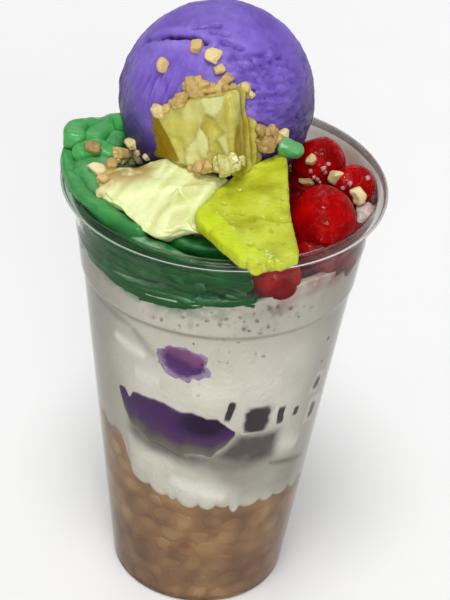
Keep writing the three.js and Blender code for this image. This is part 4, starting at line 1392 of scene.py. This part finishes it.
def wedge_finish():
    material, place = new_finish("lime_custard")
    face = place.grain(8.0).ramp((0.3, 0xAAAE1C), (0.5, 0xC4CE2C), (0.7, 0xD1DC4C))
    face = (0.9 * place.mask("side")).mix(face, 0xCCE012)
    face = (0.85 * place.mask("low")).mix(face, 0x9A7F12)
    # Painted shade in the pits and the crease
    face = (0.5 * place.mask("pit")).mix(face, 0x9E9A14)
    # Painted glints on the torn end and beside the front left edge
    wet = place.mask("torn") * place.grain(1.3).between(0.58, 0.66)
    face = (0.8 * wet).mix(face, 0xF4F5D6)
    return dress(material, {
        "Base Color": face,
        "Roughness": 0.45 - 0.2 * wet,
        "Specular IOR Level": 0.3,
        "Coat Weight": 0.15 + 0.6 * wet,
        "Coat Roughness": 0.12,
        "Normal": (place.grain(1.0, 4.0) + place.grain(3.0)).bump(0.25),
    })


lime_slice = new_piece("lime_slice", wedge_finish(), *custard_slice())
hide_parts("custard_wedge")

# Custard chunk
# A chunk of golden baked custard pressed into the front of the scoop. It broke in wet folded flakes, with
# upright ridges at its right end and a flat side at the left. Painted shade darkens that side, the creases
# and the ridges' hollows, and painted highlights lie on the pale flakes and the ridges' crests.
CHUNK_SIZE = np.array((29.5, 21.0, 18.5))
CHUNK_CENTRE = np.array((-7.9, -5.1, 160.8))
CHUNK_TURN = (-8.0, -13.0, -20.0)
CHUNK_TAPER = 0.62
CHUNK_ROUND = 1.7
# Flakes on the front and over the top, as the middle across and up, how far it stands out, its lean across
# and up, and how pale it is, partly as painted highlight
FLAKES = np.array((
    (-3.0, 6.0, 0.1, 0.02, -0.05, 0.45), (3.0, 6.6, 0.1, 0.03, -0.05, 0.6),
    (-3.6, 0.0, 0.0, 0.05, 0.03, 0.3), (0.6, 0.4, 0.1, 0.03, -0.03, 0.42),
    (5.0, -0.8, 0.6, -0.12, 0.14, 0.95), (8.6, 2.0, -0.2, 0.0, 0.0, 0.3),
    (9.0, -3.6, -0.2, 0.05, 0.1, 0.35), (12.6, -1.6, 0.4, 0.1, -0.1, 0.75),
    (12.6, 4.2, 0.1, 0.1, 0.0, 0.45), (9.6, 7.4, 0.5, 0.1, 0.05, 0.95),
    (-3.0, -5.6, 0.2, 0.0, 0.1, 0.35), (1.2, -6.2, 0.7, 0.05, 0.15, 0.9),
    (5.6, -6.8, 0.4, 0.1, 0.2, 0.6), (10.4, -7.4, 0.1, 0.0, 0.0, 0.4),
    (-6.0, 13.0, 0.2, 0.1, 0.0, 0.3), (2.0, 14.0, 0.4, -0.1, 0.0, 0.4),
    (9.0, 13.0, 0.0, 0.1, 0.0, 0.35),
))
FLAKE_SOFTNESS = 1.1
RIB_SIZE = np.array((2.3, 2.3, 16.0))
# How far its left end is drawn in and sags, and where that and the ribs of the right end start and end
LEFT_END = (2.8, 2.0)
LEFT_RANGE = (4.0, 14.0)
RIGHT_RANGE = (12.0, 13.4)
FLAKE_SEED = 4
# A flat face cuts off the left front edge, and painted shade darkens it: the way it faces and how far it
# lies from the chunk's middle
LEFT_FACE_WAY = np.array((-0.497, -0.845, -0.199))
LEFT_FACE_REACH = 11.6


def flaked(across, up):
    """How far places on the chunk's skin stand out, how near they are to a break, and how pale they are,
    partly as painted highlight.
    """
    place = np.stack([across, up], axis=-1)
    place = place + 1.5 * np.array([noise.noise_vector(Vector((a / 4, u / 4, 4.0)))[:2] for a, u in place])
    apart = np.linalg.norm(place[:, None] - FLAKES[:, :2], axis=2)
    order = np.argsort(apart, axis=1)[:, :2]
    margin = np.diff(np.take_along_axis(apart, order, 1), axis=1)
    share = 0.5 + 0.5 * np.tanh(margin / FLAKE_SOFTNESS)
    shares = np.concatenate([share, 1 - share], axis=1)
    flakes = FLAKES[order]
    lean = ((place[:, None] - flakes[..., :2]) * flakes[..., 3:5]).sum(2)
    rise = (shares * (flakes[..., 2] + lean)).sum(1)
    drop = np.clip(1.3 * np.abs(flakes[:, 0, 2] - flakes[:, 1, 2]), 0, 1)
    return rise, drop * bell(margin[:, 0], 0, 0.7), (shares * flakes[..., 5]).sum(1)


def custard_chunk():
    points, faces = unit_block(48)
    points = rounded(points, CHUNK_SIZE, CHUNK_ROUND)
    out = points / CHUNK_SIZE
    out /= np.linalg.norm(out, axis=1)[:, None]
    step, crease, light = flaked(points[:, 0], points[:, 2] + 0.8 * (points[:, 1] + CHUNK_SIZE[1] / 2))
    points[:, 2] *= 1 + CHUNK_TAPER * points[:, 0] / CHUNK_SIZE[0]
    sagged = ease(-points[:, 0], *LEFT_RANGE)
    points[:, 0] += LEFT_END[0] * sagged * ease(points[:, 2], -3.0, 5.0)
    points[:, 2] -= LEFT_END[1] * sagged
    cut_off = np.maximum(points @ LEFT_FACE_WAY - LEFT_FACE_REACH, 0)
    points = points - cut_off[:, None] * LEFT_FACE_WAY
    ribs = ripples(points / RIB_SIZE)
    right_end = ease(points[:, 0], *RIGHT_RANGE)
    relief = (1 - right_end) * step + right_end * (0.6 + 1.5 * ribs)
    relief = relief + 0.9 * bumps(points + 7, 6.0) + 0.2 * bumps(points, 2.0)
    # Painted shade on the flat left face and the left end
    left_end = ease(-points[:, 0], 0.4 * CHUNK_SIZE[0], 0.48 * CHUNK_SIZE[0])
    baked = np.maximum(ease(cut_off, 0.1, 0.5), left_end)
    relief = relief * (1 - 0.6 * baked)
    # Painted shade in the creases and the ribs' hollows, and painted highlight on pale flakes and rib
    # crests
    masks = {
        "crease": np.clip((1 - right_end) * crease + right_end * ease(-ribs, -0.15, 0.35), 0, 1),
        "light": np.clip((1 - right_end) * light + right_end * 0.6 * ease(ribs, 0.1, 0.5), 0, 1),
        "baked": baked,
    }
    points = points + out * relief[:, None]
    return turned(points, *CHUNK_TURN) + CHUNK_CENTRE, faces, masks


def chunk_finish():
    material, place = new_finish("golden_custard")
    gold = place.grain(5.0).ramp((0.3, 0xAFA034), (0.5, 0xC2B94E), (0.7, 0xCEC86C))
    # Pale flakes, partly painted highlight, and painted shade in the creases
    gold = (0.68 * place.mask("light").between(0.3, 1.0)).mix(gold, 0xE2E4A4)
    gold = (0.7 * place.mask("crease")).mix(gold, 0x8C700A)
    # Painted shade on the flat left side
    gold = (0.92 * place.mask("baked")).mix(gold, 0x9C7B08)
    return dress(material, {
        "Base Color": gold,
        "Roughness": 0.2 + 0.2 * place.grain(2.0),
        "Specular IOR Level": 0.1,
        "Coat Weight": (0.45 - 0.43 * place.mask("baked")) * (1 - 0.85 * place.mask("crease")),
        "Coat Roughness": 0.08,
        "Normal": place.grain(1.6, 3.0).bump(0.3),
    })


noise.seed_set(FLAKE_SEED)
golden_chunk = new_piece("golden_chunk", chunk_finish(), *custard_chunk())
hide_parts("custard_chunk")

# Scoop
# A ball of purple yam ice cream set on the ice. The scoop left it smooth on top, torn at the upper left,
# wrinkled where it dragged over the right side, and streaked downwards at the lower left.
SCOOP_RADIUS = 28.4
SCOOP_CENTRE = np.array((-4.1, 16.0, 158.5))
# The tear as azimuth and elevation
TEAR = ((-66, 49), (-51, 55), (-33, 59), (-16, 58))
TEAR_DEPTH = 3.0
TEAR_WIDTH = 0.018
# Shallow lines beside it, each as two ends of azimuth and elevation and a depth
FURROWS = (
    ((-82, 40), (-63, 50), 0.8),
    ((-40, 65), (-4, 72), 0.7),
    ((-14, 66), (10, 66), 0.5),
    ((2, 60), (24, 56), 0.8),
    ((10, 50), (44, 50), 0.7),
    ((20, 42), (58, 44), 0.7),
)
FURROW_WIDTH = 0.025
# The raised lip beside the tear as how far off, width and height
TEAR_LIP = (0.085, 0.05, 0.5)
# Where the scoop pulled it into streaks, as azimuth, elevation and half widths
PULLED = ((-38, 26, 17, 13), (-125, 10, 40, 22))
# A flatter shoulder at the back left as azimuth and elevation, how flat it is, and the swell of the foot
SHOULDER = (-119, 36)
SHOULDER_FLAT = 0.015
SKIRT = 0.015


def on_ball(azimuth, elevation):
    rise = np.radians(elevation)
    return around(azimuth, np.cos(rise), np.sin(rise))


def scoop_relief(points):
    azimuth = azimuth_of(points[:, 0], points[:, 1])
    elevation = np.degrees(np.arcsin(np.clip(points[:, 2], -1, 1)))
    stops = [on_ball(*stop) for stop in TEAR]
    tear = np.min([near_line(points, a, b) for a, b in zip(stops, stops[1:])], axis=0)
    wander = 0.02 * bumps(points, 0.12)
    gash = bell(tear + wander, 0, TEAR_WIDTH)
    lip = bell(tear, *TEAR_LIP[:2])
    relief = -TEAR_DEPTH * gash + TEAR_LIP[2] * lip
    for start, end, depth in FURROWS:
        furrow = near_line(points, on_ball(*start), on_ball(*end)) + 0.03 * bumps(points, 0.1)
        relief = relief - depth * bell(furrow, 0, FURROW_WIDTH)
    dragged = ease(azimuth, -4, 26) * (1 - 0.85 * ease(azimuth, 48, 78)) * (1 - ease(azimuth, 150, 175))
    dragged = dragged * (1 - ease(elevation, 44, 60))
    ones = np.ones(len(points))
    slant = elevation + 0.12 * azimuth
    wrinkles = bumps(np.stack([azimuth / 9, slant / 3.2, 2 * ones], axis=-1), 1.0, 4, calm=0.8)
    relief = relief + dragged * (0.8 * wrinkles - 0.25)
    pulled = sum(bell(azimuth, a, wide) * bell(elevation, e, tall) for a, e, wide, tall in PULLED)
    streaks = bumps(np.stack([azimuth / 2.8, elevation / 16, 7 * ones], axis=-1), 1.0)
    relief = relief + 1.4 * pulled * streaks
    pits = ripples(points / 0.045)
    relief = relief - 0.55 * ease(pits, 0.5, 0.75) * (0.35 + dragged)
    return relief + 0.35 * bumps(points, 0.3, 3) + 0.12 * bumps(points, 0.06, 2), gash


def ice_cream_ball():
    points, faces = unit_ball(7)
    relief, gash = scoop_relief(points)
    flat = SHOULDER_FLAT * ease(points @ on_ball(*SHOULDER), 0.55, 1)
    skirt = SKIRT * bell(points[:, 2], -0.5, 0.25)
    radius = SCOOP_RADIUS * (1 - flat + skirt) + relief
    return points * radius[:, None] + SCOOP_CENTRE, faces, {"relief": relief, "gash": gash}


def scoop_finish():
    material, place = new_finish("purple_ice_cream")
    # Darker in the hollows of its relief and paler on its ridges: painted shade and light
    tone = 0.5 + 0.42 * place.mask("relief") + 0.5 * (place.grain(9.0) - 0.5)
    purple = tone.ramp((0.0, 0x4A3590), (0.35, 0x6C50B4), (0.6, 0x7F63C9), (1.0, 0x9A82DC))
    height = place.axis("Z")
    across = place.axis("X")
    # Painted shade on its lower part, rising towards the sides
    low_shade = 1 - (height - 0.02 * (across + 7) * (across + 7)).between(139, 168)
    purple = (0.85 * low_shade).mix(purple, 0x2A1B50)
    # Painted shade in the tear
    purple = (0.9 * place.mask("gash")).mix(purple, 0x2C0F45)
    return dress(material, {
        "Base Color": purple,
        "Roughness": 0.38 + 0.2 * place.grain(2.0),
        "Specular IOR Level": 0.35,
        "Coat Weight": 0.2 * place.grain(3.0).between(0.4, 0.6),
        "Coat Roughness": 0.25,
        "Normal": place.grain(0.8, 4.0).bump(0.15),
    })


purple_scoop = new_piece("purple_scoop", scoop_finish(), *ice_cream_ball())
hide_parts("scoop")

# Nuts and crumbs
# Chopped roasted nuts scattered over the heap, and crumbs broken off the custard at the chunk's foot. Each
# lies on the topping that the camera sees behind it, and more nuts lie on the back of the scoop.
# Nuts as the pixel of the middle, length, width and tone from brown to pale
NUTS = (
    # On the scoop
    (163, 65, 4.0, 3.6, 0.6), (197, 47, 3.8, 3.6, 0.55), (213, 55, 4.6, 3.8, 0.8),
    (219, 70, 3.0, 3.0, 0.6),
    # Along the top of the chunk
    (188, 87, 3.6, 3.4, 0.4), (196, 83, 3.8, 3.4, 0.4), (204, 86, 3.6, 3.2, 0.45),
    (196, 91, 3.6, 3.2, 0.4), (187, 97, 3.4, 3.0, 0.35), (181, 102, 3.8, 3.0, 0.4),
    (174, 104, 3.2, 2.6, 0.45), (161, 111, 4.0, 3.4, 0.75), (168, 109, 2.6, 2.2, 0.5),
    (193, 88, 3.4, 3.0, 0.3), (203, 91, 3.2, 2.8, 0.4), (219, 88, 4.0, 3.2, 0.55),
    (227, 90, 3.0, 2.8, 0.35), (233, 89, 2.8, 2.4, 0.4), (243, 88, 3.4, 2.8, 0.7),
    (251, 95, 2.0, 1.8, 0.7), (212, 93, 3.2, 2.6, 0.5),
    # At the chunk's right end
    (258, 130, 4.2, 3.4, 0.3), (264, 137, 5.0, 3.6, 0.25), (262, 146, 4.0, 3.2, 0.3),
    (271, 137, 4.2, 3.2, 0.3), (270, 130, 3.0, 2.6, 0.35), (276, 139, 3.4, 2.6, 0.4),
    (282, 133, 3.6, 2.8, 0.85),
    # On the green jelly and the cream. The palest ones lie in shade at the scoop's foot: their tone is
    # painted light
    (92, 148, 4.6, 3.0, 0.15), (98, 170, 4.8, 4.2, 0.95), (110, 167, 4.4, 3.6, 0.4),
    (119, 153, 5.2, 3.6, 0.4), (133, 143, 4.4, 3.2, 0.8), (131, 155, 3.4, 2.8, 0.9),
    (140, 158, 3.2, 2.6, 0.95), (124, 161, 2.8, 2.4, 0.8), (105, 180, 3.0, 2.6, 0.55),
    (147, 157, 2.4, 2.0, 0.9), (103, 193, 3.2, 2.8, 0.85),
    # At the chunk's foot
    (192, 170, 3.2, 2.8, 0.45), (199, 166, 3.4, 2.8, 0.5), (197, 173, 3.0, 2.4, 0.4),
    (209, 166, 3.0, 2.6, 0.45), (211, 174, 2.8, 2.4, 0.5), (205, 172, 2.8, 2.4, 0.4),
    # Larger ones under those
    (195, 89, 6.6, 5.0, 0.35), (265, 139, 6.6, 4.8, 0.25), (181, 102, 5.0, 3.8, 0.35),
    # On the cherries
    (311, 160, 3.6, 3.2, 0.65), (338, 177, 4.4, 4.0, 0.85), (358, 195, 4.8, 4.2, 0.9),
)
# Custard crumbs as the pixel of the middle and the size
CRUMBS = ((228, 162, 4.4), (221, 166, 3.8), (233, 158, 3.4), (226, 170, 3.0), (236, 165, 3.0),
          (217, 162, 2.6), (231, 168, 2.6), (240, 160, 2.4), (224, 158, 2.6))
# Long splinters as the pixels of their two ends, width and tone
SPLINTERS = (((216, 90), (234, 72), 3.0, 0.35), ((298, 184), (315, 183), 2.2, 0.25))
# Fine grains of nut round the heaps of them, as the pixel of the middle, half widths, how many and tone
GRAINS = ((199, 88, 15, 5, 26, 0.4), (265, 137, 9, 9, 22, 0.3), (200, 170, 11, 4, 12, 0.45),
          (128, 158, 15, 7, 14, 0.75))
BACK_NUTS = 15
# First words in the names of what nuts may lie on: the toppings, and the solid of the green jelly
CARRIER_WORDS = ("purple", "golden", "lime", "pale", "green", "loose", "red", "milky")
# How many corners are cut off a bit, and how high it lies as a share of its width
CUTS = 7
LIFT = 0.22


def carriers(pieces):
    """The pieces that nuts may lie on, as one tree for finding where a line meets them."""
    points, faces = [], []
    for piece in pieces:
        start = len(points)
        points += [vertex.co / MM for vertex in piece.data.vertices]
        faces += [[start + corner for corner in face.vertices] for face in piece.data.polygons]
    return BVHTree.FromPolygons(points, faces)


def seen_at(tree, pixel_x, pixel_y):
    """Where a line from the camera through a pixel meets the toppings, and the way they face there."""
    across, down = PHOTO_SIZE[0] / 2, PHOTO_SIZE[1] / 2
    line = camera_turn @ Vector(((pixel_x - across) / FOCAL_PIXELS, (down - pixel_y) / FOCAL_PIXELS, -1.0))
    place, facing, _, _ = tree.ray_cast(CAMERA_PLACE, line.normalized())
    return place, facing


def chopped(place, facing, length, width, draw, block, way=None):
    """A crooked chopped bit that lies on a surface, sunk in by a third, and points along a way if given."""
    points, faces = block
    size = np.array((length, width, width * draw.uniform(0.75, 1.0)))
    bit = rounded(points, size, draw.uniform(0.16, 0.36) * width)
    bit[:, 0] += draw.uniform(-0.3, 0.3) * bit[:, 1]
    bit[:, 1] *= 1 + draw.uniform(-0.35, 0.35) * bit[:, 2] / width
    for _ in range(CUTS):
        cut = np.array(Vector([draw.uniform(-1, 1) for _ in range(3)]).normalized())
        over = np.maximum(bit @ cut - draw.uniform(0.62, 0.85) * np.max(bit @ cut), 0)
        bit -= over[:, None] * cut
    bit *= (1 + 0.22 * bumps(bit + draw.uniform(0, 90), 0.6 * width, 2))[:, None]
    spin = draw.uniform(0, 360) if way is None else 0.0
    bit = turned(bit, draw.uniform(-25, 25), draw.uniform(-25, 25), spin)
    up = Vector(facing)
    ahead = (Vector(way) if way is not None else up.orthogonal()).normalized()
    axes = np.array((ahead, up.cross(ahead).normalized(), up - up.dot(ahead) * ahead))
    return bit @ axes + np.array(place) + np.array(facing) * LIFT * width, faces


def scattered(bits, stretch):
    """Chopped bits seen at pixels, each with its size, as the points and faces of one mesh."""
    pieces = []
    for pixel_x, pixel_y, size in bits:
        place, facing = seen_at(toppings, pixel_x, pixel_y)
        pieces.append((*chopped(place, facing, stretch * size, size, nut_draw, nut_block), 0.0))
    return gathered(pieces)[:2]


def nut_finish():
    material, place = new_finish("chopped_nut")
    tone = place.mask("tone") + 0.55 * (place.grain(1.1) - 0.5)
    kernel = tone.ramp((0.0, 0x82683A), (0.4, 0xC8A865), (0.7, 0xE0C585), (1.0, 0xF2E5B0))
    rough = place.grain(0.6, 4.0).bump(0.25)
    return dress(material, {"Base Color": kernel, "Roughness": 0.55, "Normal": rough})


def crumb_finish():
    material, place = new_finish("custard_crumb")
    curd = place.grain(2.0).ramp((0.3, 0xB7A545), (0.5, 0xCDC878), (0.7, 0xE2E0A6))
    pitted = place.grain(1.0, 3.0).bump(0.2)
    return dress(material, {"Base Color": curd, "Roughness": 0.2, "Coat Weight": 0.7, "Normal": pitted})


carrying = [o for o in bpy.data.objects if o.get("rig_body") and o.name.split("_")[0] in CARRIER_WORDS]
toppings = carriers(carrying)
nut_draw = random.Random(SEED + 1)
nut_block = unit_block(5)
nut_bits = []
for pixel_x, pixel_y, length, width, tone in NUTS:
    place, facing = seen_at(toppings, pixel_x, pixel_y)
    nut_bits.append((*chopped(place, facing, length, width, nut_draw, nut_block), tone))
for pixel_x, pixel_y, wide, tall, count, tone in GRAINS:
    for _ in range(count):
        off_x, off_y = nut_draw.uniform(-wide, wide), nut_draw.uniform(-tall, tall)
        place, facing = seen_at(toppings, pixel_x + off_x, pixel_y + off_y)
        width = nut_draw.uniform(1.1, 2.2)
        nut_bits.append((*chopped(place, facing, 1.2 * width, width, nut_draw, nut_block), tone))
for first, last, width, tone in SPLINTERS:
    start, facing = seen_at(toppings, *first)
    end, _ = seen_at(toppings, *last)
    way = end - start
    splinter = chopped((start + end) / 2, facing, way.length, width, nut_draw, nut_block, way)
    nut_bits.append((*splinter, tone))
for _ in range(BACK_NUTS):
    out = Vector(on_ball(nut_draw.uniform(142, 218), nut_draw.uniform(-22, 32)))
    start = Vector(SCOOP_CENTRE) + out * 2.2 * SCOOP_RADIUS
    place, facing, _, _ = toppings.ray_cast(start, -out)
    width = nut_draw.uniform(2.6, 3.8)
    nut_bits.append((*chopped(place, facing, 1.2 * width, width, nut_draw, nut_block), nut_draw.random()))
nut_points, nut_faces, nut_tones = gathered(nut_bits)
chopped_nuts = new_piece("chopped_nuts", nut_finish(), nut_points, nut_faces, {"tone": nut_tones})

custard_crumbs = new_piece("custard_crumbs", crumb_finish(), *scattered(CRUMBS, 1.15))

# Stained ice
# Crumbs of shaved ice that lie between the cherries, pink with their syrup, and a white lump of the same
# ice pressed against the right wall.
# Crumbs as the pixel of the middle and the size
ICE_CRUMBS = (
    (323, 168, 1.6), (314, 177, 1.3), (317, 179, 1.2), (328, 164, 1.2), (350, 184, 1.6), (367, 178, 1.4),
    (311, 171, 1.2), (343, 188, 1.3), (325, 172, 1.2), (320, 182, 1.0), (364, 213, 5.2), (361, 219, 3.6),
)


def ice_crumb_finish():
    material, place = new_finish("stained_ice")
    height = place.axis("Z")
    stain = (height + 6.0 * (place.grain(2.0) - 0.5)).between(136, 142)
    return dress(material, {
        "Base Color": stain.mix(0xD2CCC4, 0xC08A8C),
        "Roughness": 0.3,
        "Coat Weight": 0.5 * place.grain(1.0),
        "Normal": place.grain(0.8, 3.0).bump(0.3),
    })


stained_ice = new_piece("stained_ice", ice_crumb_finish(), *scattered(ICE_CRUMBS, 1.1))
